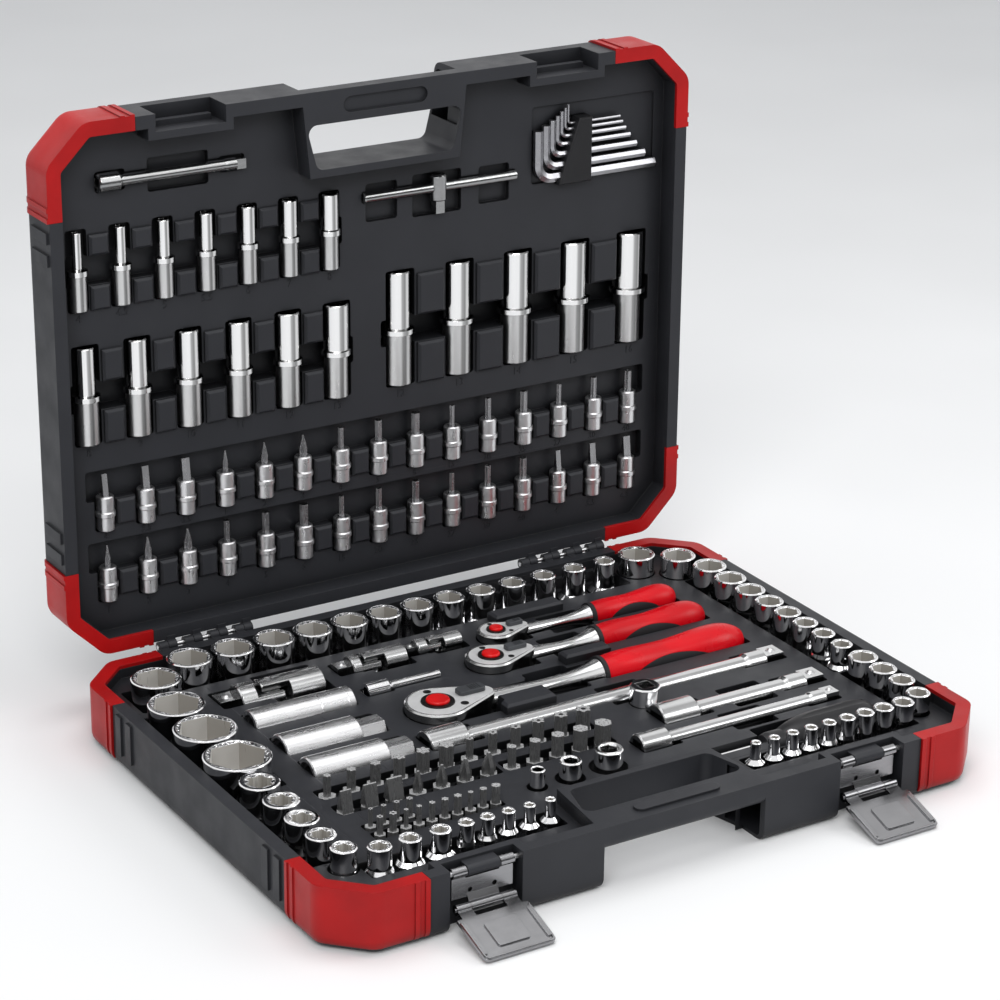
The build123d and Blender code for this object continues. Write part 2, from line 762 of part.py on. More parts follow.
def ratchet_body(tool):
    half_t = tool.thick / 2
    gear = 0.62 * tool.head
    outline = pear(tool, 0)
    cover = pear(tool, 2.2 - RUN)
    neck = tool.head * 0.7
    tang = TANG_R * tool.grip
    tang_end = tool.grip_start + TANG_IN * (tool.reach - tool.grip_start)
    shank = [
        (neck, 0.62 * half_t),
        (1.7 * tool.head, 0.8 * half_t),
        (0.62 * tool.grip_start, 0.62 * half_t),
        (tool.grip_start - COLLAR_W, 0.76 * tool.grip),
    ]
    lever_x, lever_y = lever_spot(tool)
    with BuildPart() as body:
        with BuildSketch(Plane.XY.offset(-half_t)):
            add(outline)
        extrude(amount=tool.thick)
        chamfer(body.edges().group_by(Axis.Z)[0], 1.4)
        chamfer(body.edges().group_by(Axis.Z)[-1], 1.0)
        with BuildSketch(Plane.XY):
            with BuildLine():
                Spline(*shank)
                Polyline(
                    shank[-1],
                    (tool.grip_start - COLLAR_W, tang),
                    (tang_end, tang),
                    (tang_end, 0),
                    (neck, 0),
                    shank[0],
                )
            make_face()
        revolve(axis=Axis.X)
        with BuildSketch(Plane.XY.offset(half_t)):
            add(cover)
        extrude(amount=-COVER_T, mode=Mode.SUBTRACT)
        with Locations((0, 0, -half_t + 2.2)):
            Cylinder(
                gear + 0.3,
                tool.thick,
                align=(Align.CENTER, Align.CENTER, Align.MIN),
                mode=Mode.SUBTRACT,
            )
        Cylinder(0.54 * tool.head + 0.3, 2 * tool.thick, mode=Mode.SUBTRACT)
        # room for the pawl beside the gear
        with Locations((gear, 0, 0)):
            Box(0.5 * tool.head + 0.6, 0.5 * tool.head + 0.6, 0.4 * tool.thick + 0.6, mode=Mode.SUBTRACT)
        with Locations((lever_x, lever_y, half_t)):
            Cylinder(0.1 * tool.head + RUN, 2 * (COVER_T + 3.0), mode=Mode.SUBTRACT)
        with Locations(*[(x, y, half_t - COVER_T) for x, y in screw_spots(tool)]):
            Cylinder(
                0.075 * tool.head,
                3.0,
                align=(Align.CENTER, Align.CENTER, Align.MAX),
                mode=Mode.SUBTRACT,
            )
    return body.part


def ratchet_cover(tool):
    plate = pear(tool, 2.2)
    lever_x, lever_y = lever_spot(tool)
    with BuildPart() as cover:
        with BuildSketch(Plane.XY.offset(tool.thick / 2 - COVER_T)):
            add(plate)
            Circle(0.5 * tool.head + 0.3, mode=Mode.SUBTRACT)
            with Locations((lever_x, lever_y)):
                Circle(0.1 * tool.head + RUN, mode=Mode.SUBTRACT)
            with Locations(*screw_spots(tool)):
                Circle(0.09 * tool.head, mode=Mode.SUBTRACT)
        extrude(amount=COVER_T)
    return cover.part


def ratchet_screws(tool):
    """Sunk screws that hold the cover."""
    screws = []
    for x, y in screw_spots(tool):
        with BuildPart() as screw:
            with Locations((x, y, tool.thick / 2 - COVER_T - 2.5)):
                Cylinder(0.075 * tool.head - RUN, 3.0, align=(Align.CENTER, Align.CENTER, Align.MIN))
        screws.append(screw.part)
    return screws


def ratchet_drive(tool):
    half_t = tool.thick / 2
    gear = 0.62 * tool.head
    bottom = -half_t + 2.2 + SEAT
    top = half_t - COVER_T - SEAT
    with BuildPart() as drive:
        with BuildSketch(Plane.XY.offset(bottom)):
            Circle(gear)
            with PolarLocations(gear, 30):
                Circle(0.045 * tool.head, mode=Mode.SUBTRACT)
        extrude(amount=top - bottom)
        with BuildSketch(Plane.XY.offset(bottom)):
            Circle(0.54 * tool.head)
        extrude(amount=-2.2 - 2 * SEAT)
        with BuildSketch(Plane.XY.offset(-half_t - SEAT)):
            Rectangle(tool.square, tool.square)
        extrude(amount=-tool.spike)
        with BuildSketch(Plane.XY.offset(top)):
            Circle(0.5 * tool.head)
        extrude(amount=COVER_T + SEAT + 0.8)
        with BuildSketch(Plane.XY.offset(half_t + 0.8)):
            Circle(0.36 * tool.head + RUN)
        extrude(amount=-(BUTTON_TRAVEL + 4.0), mode=Mode.SUBTRACT)
    return drive.part


def ratchet_button(tool):
    half_t = tool.thick / 2
    radius = 0.36 * tool.head
    low = half_t + 0.8 - 4.0 + SEAT
    high = half_t + BUTTON_UP
    with BuildPart() as button:
        with Locations((0, 0, low)):
            Cylinder(radius, high - low, align=(Align.CENTER, Align.CENTER, Align.MIN))
        fillet(button.edges().group_by(Axis.Z)[-1], BUTTON_ROUND)
    return button.part


def ratchet_lever(tool):
    x, y = lever_spot(tool)
    with BuildPart() as lever:
        with BuildSketch(Plane.XY.offset(tool.thick / 2 + SEAT)):
            with Locations((x + 0.16 * tool.head, y)):
                RectangleRounded(0.92 * tool.head, 0.42 * tool.head, 0.14 * tool.head)
        extrude(amount=LEVER_H)
        chamfer(lever.edges().group_by(Axis.Z)[-1], 0.5)
        with Locations((x, y, tool.thick / 2 + SEAT)):
            Cylinder(0.1 * tool.head, COVER_T + 2.0, align=(Align.CENTER, Align.CENTER, Align.MAX))
    return lever.part


def ratchet_pawl(tool):
    with BuildPart() as pawl:
        with Locations((0.62 * tool.head + 0.35, 0, 0)):
            Box(0.5 * tool.head - 0.7, 0.5 * tool.head, 0.4 * tool.thick)
        Cylinder(0.62 * tool.head + 0.3, tool.thick, mode=Mode.SUBTRACT)
    return pawl.part


def inlay_zone(tool, grow):
    """Arch that the soft inlay fills on both sides of the grip."""
    span = tool.reach - tool.grip_start
    middle = tool.grip_start + 0.46 * span
    with BuildPart() as zone:
        with BuildSketch(Plane.XZ):
            with Locations((middle, -0.35 * tool.grip)):
                Ellipse(0.3 * span + grow, 0.82 * tool.grip + grow)
            with Locations((middle, -0.35 * tool.grip - 0.5 * tool.grip)):
                Rectangle(span, tool.grip, mode=Mode.SUBTRACT)
        extrude(amount=2 * tool.grip, both=True)
    return zone.part


def ratchet_grip(tool):
    outer = grip_form(tool, 0)
    core = grip_form(tool, INLAY_T + RUN)
    zone = inlay_zone(tool, RUN)
    tang = TANG_R * tool.grip
    with BuildPart() as rim:
        add(outer)
        add(core, mode=Mode.SUBTRACT)
        add(zone, mode=Mode.INTERSECT)
    with BuildPart() as grip:
        add(outer)
        add(rim.part, mode=Mode.SUBTRACT)
        with Locations((tool.grip_start - 1, 0, 0)):
            Cylinder(
                tang + RUN,
                TANG_IN * (tool.reach - tool.grip_start) + 2,
                rotation=(0, 90, 0),
                align=(Align.CENTER, Align.CENTER, Align.MIN),
                mode=Mode.SUBTRACT,
            )
    return grip.part


def ratchet_inlays(tool):
    outer = grip_form(tool, 0)
    core = grip_form(tool, INLAY_T)
    zone = inlay_zone(tool, 0)
    with BuildPart() as inlay:
        add(outer)
        add(core, mode=Mode.SUBTRACT)
        add(zone, mode=Mode.INTERSECT)
    with BuildPart() as collar:
        with Locations((tool.grip_start - COLLAR_W + RUN, 0, 0)):
            Cylinder(
                0.86 * tool.grip,
                COLLAR_W - 2 * RUN,
                rotation=(0, 90, 0),
                align=(Align.CENTER, Align.CENTER, Align.MIN),
            )
            Cylinder(
                TANG_R * tool.grip + RUN,
                COLLAR_W,
                rotation=(0, 90, 0),
                align=(Align.CENTER, Align.CENTER, Align.MIN),
                mode=Mode.SUBTRACT,
            )
    return [collar.part] + inlay.part.solids()


def at_ratchet(tool, solids):
    return [placed(solid, Plane((tool.x, tool.y, head_mid(tool)))) for solid in solids]


for tool in RATCHETS:
    sunk = BASE_H - head_mid(tool)
    span = tool.reach - tool.grip_start
    neck_x = (tool.head + tool.grip_start) / 2
    round_pocket(base_pockets, tool.x, tool.y, 2 * tool.head, sunk + tool.thick / 2)
    round_pocket(base_pockets, tool.x, tool.y, 1.1 * tool.head, sunk + tool.thick / 2 + SEAT + tool.spike)
    floor = sunk + tool.thick / 2
    slot_pocket(base_pockets, tool.x + 0.85 * tool.head, tool.y, 1.75 * tool.head, 1.86 * tool.head, floor)
    slot_pocket(base_pockets, tool.x + neck_x, tool.y, tool.grip_start, tool.thick, floor)
    flare = 0.42 * tool.grip_start
    flare_x = tool.x + tool.grip_start - flare / 2
    slot_pocket(base_pockets, flare_x, tool.y, flare, 1.72 * tool.grip, sunk + 0.86 * tool.grip)
    slot_pocket(
        base_pockets,
        tool.x + (tool.grip_start + tool.reach) / 2 - 2,
        tool.y,
        span + 4,
        2 * tool.grip,
        sunk + tool.grip,
    )
    well_x = tool.x + 0.72 * tool.grip_start
    slot_pocket(base_pockets, well_x, tool.y, 30.0, 2.6 * tool.grip, sunk + 0.7 * tool.grip)
    save(f"{tool.name}_ratchet_drive", at_ratchet(tool, [ratchet_drive(tool)]))
    save(f"{tool.name}_release_button", at_ratchet(tool, [ratchet_button(tool)]))
    save(f"{tool.name}_reversing_lever", at_ratchet(tool, [ratchet_lever(tool)]))
save("ratchet_bodies", [s for tool in RATCHETS for s in at_ratchet(tool, [ratchet_body(tool)])])
save("ratchet_covers", [s for tool in RATCHETS for s in at_ratchet(tool, [ratchet_cover(tool)])])
save("ratchet_screws", [s for tool in RATCHETS for s in at_ratchet(tool, ratchet_screws(tool))])
save("ratchet_pawls", [s for tool in RATCHETS for s in at_ratchet(tool, [ratchet_pawl(tool)])])
save("ratchet_grips", [s for tool in RATCHETS for s in at_ratchet(tool, [ratchet_grip(tool)])])
save("ratchet_inlays", [s for tool in RATCHETS for s in at_ratchet(tool, ratchet_inlays(tool))])

# Plateaus beside the ratchets' necks
base_blocks.append(Block(0.0, 4.75, 36.0, 17.0, PLATEAU_RISE))
base_blocks.append(Block(70.0, 44.3, 34.0, 10.0, PLATEAU_RISE))
base_blocks.append(Block(72.0, 119.5, 52.0, 12.0, PLATEAU_RISE))

# Universal joints: pivot at the origin, drive square toward -X, socket toward +X
Joint = namedtuple("Joint", "name x y outside reach drive")
JOINTS = [
    Joint("half_inch", -128.5, 103.0, 24.0, 36.0, HALF),
    Joint("three_eighths", -54.5, 106.0, 18.0, 25.0, THREE_EIGHTHS),
    Joint("quarter_inch", -7.0, 107.0, 13.0, 20.0, QUARTER),
]
JOINT_TOP = 1.5  # highest line of a joint under the rim
SWING_ROOM = 13.0  # degrees of sideways swing left in the pocket
JOINT_ROOM = 1.2  # room round a joint's pivot for its tilt


def fork(tool, way, upright):
    """One fork of a joint, its body toward way; upright forks have tines above and below."""
    wide = tool.outside
    body_end = tool.reach if way > 0 else tool.reach - 1.05 * tool.drive.square
    turn = 90 if upright else 0
    with BuildPart() as body:
        with Locations((way * (body_end - 0.3 * wide) / 2, 0, 0)):
            Cylinder(wide / 2, body_end + 0.3 * wide, rotation=(0, 90, 0))
        chamfer(body.edges().filter_by(GeomType.CIRCLE), 0.8)
        with Locations(Location((-way * 0.1 * wide, 0, 0), (turn, 0, 0))):
            Box(1.2 * wide, 0.56 * wide, 2 * wide, mode=Mode.SUBTRACT)
        for side in (-1, 1):
            with Locations(Location((0, 0, 0), (turn, 0, 0))):
                with Locations((-way * 0.1 * wide, 0, side * 0.74 * wide)):
                    Box(1.2 * wide, 2 * wide, wide, mode=Mode.SUBTRACT)
        with Locations(Location((0, 0, 0), (90 + turn, 0, 0))):
            Cylinder(0.11 * wide, 2 * wide, mode=Mode.SUBTRACT)
        if way > 0:
            with BuildSketch(Plane.YZ.offset(tool.reach)):
                Rectangle(tool.drive.square, tool.drive.square)
            extrude(amount=-0.9 * tool.drive.square, mode=Mode.SUBTRACT)
        else:
            with BuildSketch(Plane.YZ.offset(-body_end)):
                Rectangle(tool.drive.square, tool.drive.square)
            extrude(amount=-1.05 * tool.drive.square)
    return body.part


def cross(tool):
    pin = 0.11 * tool.outside - RUN
    with BuildPart() as spider:
        Box(0.46 * tool.outside, 0.46 * tool.outside, 0.46 * tool.outside)
        for turn in (0, 90):
            with Locations(Location((0, 0, 0), (turn, 0, 0))):
                Cylinder(pin, 0.92 * tool.outside)
    return spider.part


def at_joint(tool, solid):
    return placed(solid, Plane((tool.x, tool.y, BASE_H - JOINT_TOP - tool.outside / 2)))


for tool in JOINTS:
    floor = JOINT_TOP + tool.outside
    room = 2 * tool.reach * sin(radians(SWING_ROOM))
    slot_pocket(base_pockets, tool.x - tool.reach / 2, tool.y, tool.reach, tool.outside, floor)
    slot_pocket(base_pockets, tool.x + tool.reach / 2, tool.y, tool.reach + 4, tool.outside + room, floor)
    around = tool.outside + 2 * JOINT_ROOM
    slot_pocket(base_pockets, tool.x, tool.y, tool.outside, around, floor + JOINT_ROOM)
    save(f"{tool.name}_joint_cross", [at_joint(tool, cross(tool))])
    save(f"{tool.name}_joint_socket", [at_joint(tool, fork(tool, 1, True))])
save("joint_drive_forks", [at_joint(tool, fork(tool, -1, False)) for tool in JOINTS])

# Tools that lie along X in the base
Bar = namedtuple("Bar", "x y length drive shaft")
LONG_BAR = Bar(-82.0, -12.0, 265.0, HALF, 13.0)
SHORT_BAR = Bar(60.0, -52.0, 125.0, HALF, 13.0)
MIDDLE_BAR = Bar(27.0, -80.0, 150.0, THREE_EIGHTHS, 10.0)
LID_BAR = Bar(-192.5, 305.5, 100.0, QUARTER, 7.2)
BAR_TOP = 1.0  # highest line of a stored bar under the rim


def along_x(solid, x, y, z):
    """Lay a turned solid along +X, its foot at x."""
    return placed(solid, Plane((x, y, z), x_dir=(0, 1, 0), z_dir=(1, 0, 0)))


def extension(bar):
    """Extension bar: socket at z = 0, drive square at the far end."""
    square = bar.drive.square
    wide = bar.drive.outside / 2
    thin = bar.shaft / 2
    neck = 1.15 * bar.drive.outside
    shoulder = bar.length - 1.1 * square
    edge = 0.8
    points = [(0, 0), (wide - edge, 0), (wide, edge), (wide, neck), (thin, neck + wide - thin)]
    points += [(thin, shoulder - 1.2 * square), (0.62 * square, shoulder - square)]
    points += [(0.62 * square, shoulder), (0, shoulder)]
    blank = turned(points)
    with BuildPart() as body:
        add(blank)
        with BuildSketch(Plane.XY.offset(shoulder)):
            Rectangle(square, square)
        extrude(amount=bar.length - shoulder)
        chamfer(body.edges().group_by(Axis.Z)[-1], 0.8)
        with BuildSketch():
            Rectangle(square, square)
        extrude(amount=1.1 * square, mode=Mode.SUBTRACT)
    return body.part


def bar_pockets(pockets, bar, sunk, well):
    """Pocket for a bar, with a finger well near its middle."""
    neck = 1.6 * bar.drive.outside
    end = 2.6 * bar.drive.square
    slot_pocket(pockets, bar.x + neck / 2, bar.y, neck, bar.drive.outside, sunk + bar.drive.outside / 2)
    slot_pocket(pockets, bar.x + bar.length / 2, bar.y, bar.length, bar.shaft, sunk + bar.shaft / 2)
    square = 1.42 * bar.drive.square
    slot_pocket(pockets, bar.x + bar.length - end / 2, bar.y, end, square, sunk + square / 2)
    slot_pocket(pockets, bar.x + 0.55 * bar.length, bar.y, well, bar.shaft + 13, sunk + 0.8 * bar.shaft)


bar_solids = []
for bar in (LONG_BAR, SHORT_BAR, MIDDLE_BAR):
    sunk = BAR_TOP + bar.drive.outside / 2
    bar_solids.append(along_x(extension(bar), bar.x, bar.y, BASE_H - sunk))
    bar_pockets(base_pockets, bar, sunk, 30.0)
save("extension_bars", bar_solids)

# Spark plug sockets: working end at -X, rubber grip inside it
PLUG_X = -160.0
PLUG_L = 70.0
PLUG_BODY = 52.0
Plug = namedtuple("Plug", "y outside bore drive_hex")
PLUGS = [Plug(67.0, 22.0, 16.0, None), Plug(28.0, 26.0, 21.0, 17.0), Plug(-7.0, 24.0, 18.0, 16.0)]
INSERT_L = 14.0


def plug_socket(plug):
    edge = 0.8
    wide = plug.outside / 2
    end = PLUG_L if plug.drive_hex is None else PLUG_BODY
    points = [(0, 0), (wide - edge, 0), (wide, edge), (wide, end - edge), (wide - edge, end), (0, end)]
    blank = turned(points)
    with BuildPart() as body:
        add(blank)
        if plug.drive_hex is None:
            for groove in (0.66 * PLUG_L, 0.93 * PLUG_L):
                with Locations((0, 0, groove)):
                    Torus(wide, 0.6, mode=Mode.SUBTRACT)
        else:
            with BuildSketch(Plane.XY.offset(end)):
                Circle(0.42 * plug.drive_hex)
            extrude(amount=1.5)
            with BuildSketch(Plane.XY.offset(end + 1.5)):
                add(hex_profile(plug.drive_hex))
            extrude(amount=PLUG_L - end - 1.5)
        with BuildSketch():
            Circle(plug.bore / 2)
        extrude(amount=0.6 * PLUG_L, mode=Mode.SUBTRACT)
        with BuildSketch(Plane.XY.offset(PLUG_L)):
            Rectangle(THREE_EIGHTHS.square, THREE_EIGHTHS.square)
        extrude(amount=-13.0, mode=Mode.SUBTRACT)
    return body.part


def plug_insert(plug):
    with BuildPart() as sleeve:
        with BuildSketch(Plane.XY.offset(2.0)):
            Circle(plug.bore / 2 - RUN)
            Circle(plug.bore / 2 - 3.0, mode=Mode.SUBTRACT)
        extrude(amount=INSERT_L)
    return sleeve.part


plug_solids = []
insert_solids = []
for plug in PLUGS:
    sunk = JOINT_TOP + plug.outside / 2
    slot_pocket(base_pockets, PLUG_X + PLUG_L / 2, plug.y, PLUG_L, plug.outside, sunk + plug.outside / 2)
    plug_solids.append(along_x(plug_socket(plug), PLUG_X, plug.y, BASE_H - sunk))
    insert_solids.append(along_x(plug_insert(plug), PLUG_X, plug.y, BASE_H - sunk))
save("spark_plug_sockets", plug_solids)
save("spark_plug_inserts", insert_solids)

# Bit holder with a slender shank
HOLDER_X = -78.0
HOLDER_Y = 68.0
HOLDER_L = 53.0
HOLDER_R = 5.6
SHANK_R = 3.1
holder_sunk = 3.0 + HOLDER_R
holder_form = turned(
    [(0, 0), (HOLDER_R, 0), (HOLDER_R, 15), (SHANK_R, 18), (SHANK_R, HOLDER_L), (0, HOLDER_L)]
)
with BuildPart() as holder:
    add(holder_form)
    with BuildSketch():
        add(hex_profile(SMALL_SHANK))
    extrude(amount=12.0, mode=Mode.SUBTRACT)
adapter_solids.append(along_x(holder.part, HOLDER_X, HOLDER_Y, BASE_H - holder_sunk))
save("adapters", adapter_solids)
slot_pocket(base_pockets, HOLDER_X + 8.5, HOLDER_Y, 19.0, 2 * HOLDER_R, holder_sunk + HOLDER_R)
slot_pocket(base_pockets, HOLDER_X + HOLDER_L / 2, HOLDER_Y, HOLDER_L, 2 * SHANK_R, holder_sunk + SHANK_R)

# Spinner handle with a quarter inch square
SPIN_Y = -109.0
SPIN_TIP = 16.0
SPIN_GRIP = 100.0
SPIN_END = 186.0
SPIN_R = 14.0
SPIN_SHAFT_R = 3.6
FLUTES = 6
spin_sunk = BAR_TOP + SPIN_R
spin_long = SPIN_END - SPIN_GRIP
SPIN_HOLE = 0.5 * spin_long
with BuildPart() as spinner_shaft:
    Cylinder(
        SPIN_SHAFT_R,
        SPIN_GRIP - SPIN_TIP - 8.0 + SPIN_HOLE,
        align=(Align.CENTER, Align.CENTER, Align.MIN),
    )
    with BuildSketch(Plane.XY):
        Rectangle(QUARTER.square, QUARTER.square)
    extrude(amount=-8.0)
save("spinner_shaft", [along_x(spinner_shaft.part, SPIN_TIP + 8.0, SPIN_Y, BASE_H - spin_sunk)])
with BuildPart() as spinner_grip:
    with BuildSketch(Plane.XZ):
        with BuildLine():
            Polyline((0.55 * SPIN_R, 0), (0.62 * SPIN_R, 4), (0.62 * SPIN_R, 0.16 * spin_long))
            Spline(
                (0.62 * SPIN_R, 0.16 * spin_long),
                (0.95 * SPIN_R, 0.36 * spin_long),
                (SPIN_R, 0.66 * spin_long),
                (0.86 * SPIN_R, 0.92 * spin_long),
                (0.5 * SPIN_R, spin_long),
            )
            Polyline((0.5 * SPIN_R, spin_long), (0, spin_long), (0, 0), (0.55 * SPIN_R, 0))
        make_face()
    revolve(axis=Axis.Z)
    with PolarLocations(1.28 * SPIN_R, FLUTES, start_angle=30):
        with Locations((0, 0, 0.3 * spin_long)):
            Cylinder(
                0.36 * SPIN_R,
                0.6 * spin_long,
                align=(Align.CENTER, Align.CENTER, Align.MIN),
                mode=Mode.SUBTRACT,
            )
    Cylinder(
        SPIN_SHAFT_R + RUN,
        2 * (SPIN_HOLE + RUN),
        mode=Mode.SUBTRACT,
    )
save("spinner_grip", [along_x(spinner_grip.part, SPIN_GRIP, SPIN_Y, BASE_H - spin_sunk)])
spin_middle = (SPIN_TIP + SPIN_GRIP) / 2
spin_deep = spin_sunk + max(SPIN_SHAFT_R, QUARTER.square / 2)
slot_pocket(base_pockets, spin_middle, SPIN_Y, SPIN_GRIP - SPIN_TIP + 2, 9.0, spin_deep)
slot_pocket(base_pockets, (SPIN_GRIP + SPIN_END) / 2, SPIN_Y, spin_long, 2 * SPIN_R, spin_sunk + SPIN_R)

# Tools in the lid: x across, s up from the hinge axis, depth behind the rim


def lid_point(x, s, depth):
    return LID.plane.from_local_coords((x, s, -depth))


def up_lid(solid, x, s, depth):
    """Lay a turned solid up the lid, its foot at s."""
    plane = Plane(lid_point(x, s, depth), x_dir=LID.plane.x_dir, z_dir=LID.plane.y_dir)
    return placed(solid, plane)


def across_lid(solid, x, s, depth):
    """Lay a turned solid across the lid, its foot at x."""
    plane = Plane(lid_point(x, s, depth), x_dir=LID.plane.y_dir, z_dir=LID.plane.x_dir)
    return placed(solid, plane)


# Deep sockets: count, first x, pitch, foot s, depth of the axis, outside sizes
Deep = namedtuple("Deep", "name drive count x pitch s depth length walls lower collars")
DEEP_ROWS = [
    Deep("quarter_inch", QUARTER, 7, -207.0, 29.0, 227.0, 15.0, 50.0, (6.4, 11.6), 11.0, (13.0, 13.8)),
    Deep("three_eighths", THREE_EIGHTHS, 6, -204.0, 35.1, 140.0, 17.0, 63.0, (12.6, 17.0), 15.4, (18, 19.4)),
    Deep("half_inch", HALF, 5, 18.5, 44.9, 140.0, 19.5, 77.0, (17.0, 20.6), 18.4, (22.0, 25.0)),
]
COLLAR_H = 3.6
WELL_H = 17.0  # finger channel under the collars


def spread(pair, count, place):
    """Size of one of a row that grows evenly from the first to the last."""
    return pair[0] + (pair[1] - pair[0]) * place / (count - 1)


def deep_socket(deep, place):
    wall = spread(deep.walls, deep.count, place)
    collar = spread(deep.collars, deep.count, place)
    drive = Drive(deep.drive.square, deep.lower, deep.length)
    blank = socket_form(wall, drive, deep.length, [(COLLAR_H, collar)])
    size = 0.68 * wall
    square = min(deep.drive.square, 0.66 * deep.lower)
    return finish_socket(
        blank, hex_profile(size), 1.1547 * size, Drive(square, deep.lower, deep.length), deep.length
    )


for deep in DEEP_ROWS:
    solids = []
    top = max(deep.walls[1], deep.lower) / 2 + deep.depth
    middle = deep.s + 0.45 * deep.length + COLLAR_H / 2
    for place in range(deep.count):
        x = deep.x + place * deep.pitch
        wide = max(spread(deep.walls, deep.count, place), deep.lower)
        solids.append(up_lid(deep_socket(deep, place), x, deep.s, deep.depth))
        half_way = deep.s + deep.length / 2
        slot_pocket(lid_pockets, x, half_way, wide + 2, deep.length + 1, deep.depth + wide / 2)
    land = deep.pitch - max(deep.walls[1], deep.lower) - 2 - 2 * SIDE - 2 * BLOCK_GAP
    low_end = deep.s - 1
    well_low = middle - WELL_H / 2 - SIDE - BLOCK_GAP
    well_high = middle + WELL_H / 2 + SIDE + BLOCK_GAP
    high_end = deep.s + deep.length - 3
    for place in range(deep.count - 1):
        x = deep.x + (place + 0.5) * deep.pitch
        for low, high in ((low_end, well_low), (well_high, high_end)):
            lid_blocks.append(Block(x, (low + high) / 2, land, high - low, BLOCK_RISE))
    across = (deep.count - 1) * deep.pitch
    slot_pocket(
        lid_pockets,
        deep.x + across / 2,
        middle,
        across + deep.collars[1] + 3,
        WELL_H,
        deep.depth + deep.collars[1] / 2,
    )
    save(f"deep_{deep.name}_sockets", solids)

# Bit sockets: two rows of holders with fixed tips
HOLD_COUNT = 15
HOLD_X = -195.0
HOLD_PITCH = 28.05
HOLD_ROWS = [81.5, 33.5]
HOLD_DEPTH = 15.0
HOLD_L = 23.0
HOLD_R = 5.7
RING_R = 6.5
TIP_SHANK = 5.5
TIP_IN = 9.0
TIP_OUT = 14.0
tip_kinds = ["slot", "cross", "hex", "star", "tamper"]
holder_blank = turned(
    [
        (0, 0),
        (HOLD_R - 0.6, 0),
        (HOLD_R, 0.6),
        (HOLD_R, 9.0),
        (RING_R, 9.6),
        (RING_R, 12.2),
        (HOLD_R, 12.8),
        (HOLD_R, HOLD_L - 0.8),
        (HOLD_R - 0.8, HOLD_L),
        (0, HOLD_L),
    ]
)
with BuildPart() as bit_socket:
    add(holder_blank)
    with BuildSketch():
        Rectangle(QUARTER.square, QUARTER.square)
    extrude(amount=8.0, mode=Mode.SUBTRACT)
    with BuildSketch(Plane.XY.offset(HOLD_L)):
        add(hex_profile(TIP_SHANK + 2 * RUN))
    extrude(amount=-TIP_IN - SEAT, mode=Mode.SUBTRACT)


def fixed_tip(kind, size):
    end = tip(kind, size, TIP_OUT, TIP_SHANK)
    with BuildPart() as whole:
        with BuildSketch(Plane.XY.offset(-TIP_IN)):
            add(hex_profile(TIP_SHANK))
        extrude(amount=TIP_IN)
        add(end)
    return whole.part


hold_solids = []
tip_solids = []
for line, s in enumerate(HOLD_ROWS):
    for place in range(HOLD_COUNT):
        x = HOLD_X + place * HOLD_PITCH
        kind = tip_kinds[(place + 3 * line) // 3 % len(tip_kinds)]
        end = fixed_tip(kind, 3.6 + 0.9 * (place % 3))
        hold_solids.append(up_lid(bit_socket.part, x, s, HOLD_DEPTH))
        tip_solids.append(up_lid(end, x, s + HOLD_L, HOLD_DEPTH))
        slot_pocket(lid_pockets, x, s + HOLD_L / 2, 2 * RING_R, HOLD_L + 1, HOLD_DEPTH + RING_R)
    across = (HOLD_COUNT - 1) * HOLD_PITCH
    tips_s = s + HOLD_L + 6.5
    land = HOLD_PITCH - 2 * RING_R - 2 * SIDE - 2 * BLOCK_GAP
    block_top = tips_s - TIP_OUT / 2 - 2.5 - SIDE - BLOCK_GAP
    for place in range(HOLD_COUNT - 1):
        x = HOLD_X + (place + 0.5) * HOLD_PITCH
        lid_blocks.append(Block(x, (s + block_top) / 2 + 1, land, block_top - s - 2, BLOCK_RISE))
    slot_pocket(
        lid_pockets, HOLD_X + across / 2, tips_s, across + 24, TIP_OUT + 5, HOLD_DEPTH + RING_R
    )
save("bit_socket_holders", hold_solids)
save("bit_socket_tips", tip_solids)

# Quarter inch extension in the lid
lid_bar_depth = 13.5
save("lid_extension_bar", [across_lid(extension(LID_BAR), LID_BAR.x, LID_BAR.y, lid_bar_depth)])
bar_pockets(lid_pockets, LID_BAR, lid_bar_depth, 40.0)

# Sliding T-bar
TEE_X = -9.0
TEE_L = 114.0
TEE_S = 270.0
TEE_R = 3.2
TEE_DEPTH = 14.0
SLIDER_X = 46.0
SLIDER_R = 5.6
SLIDER_L = 17.0
SLIDE_ROOM = 12.0
with BuildPart() as tee_rod:
    Cylinder(TEE_R, TEE_L, align=(Align.CENTER, Align.CENTER, Align.MIN))
    chamfer(tee_rod.edges().filter_by(GeomType.CIRCLE), 0.8)
save("t_bar_rod", [across_lid(tee_rod.part, TEE_X, TEE_S, TEE_DEPTH)])
with BuildPart() as slider:
    Cylinder(SLIDER_R, SLIDER_L)
    chamfer(slider.edges().filter_by(GeomType.CIRCLE), 0.8)
    with BuildSketch(Plane.XY.offset(-SLIDER_L / 2)):
        Rectangle(QUARTER.square, QUARTER.square)
    extrude(amount=-8.5)
    Cylinder(TEE_R + RUN, 4 * SLIDER_R, rotation=(0, 90, 0), mode=Mode.SUBTRACT)
save("t_bar_slider", [up_lid(slider.part, SLIDER_X, TEE_S, TEE_DEPTH)])
slot_pocket(lid_pockets, TEE_X + TEE_L / 2, TEE_S, TEE_L, 2 * TEE_R, TEE_DEPTH + TEE_R)
slider_wide = 2 * (SLIDER_R + SLIDE_ROOM)
slot_pocket(lid_pockets, SLIDER_X, TEE_S - 4.2, slider_wide, SLIDER_L + 10, TEE_DEPTH + SLIDER_R)
for x in (TEE_X + 14, TEE_X + TEE_L - 16):
    slot_pocket(lid_pockets, x, TEE_S - 4, 22.0, 24.0, TEE_DEPTH + TEE_R + 2)

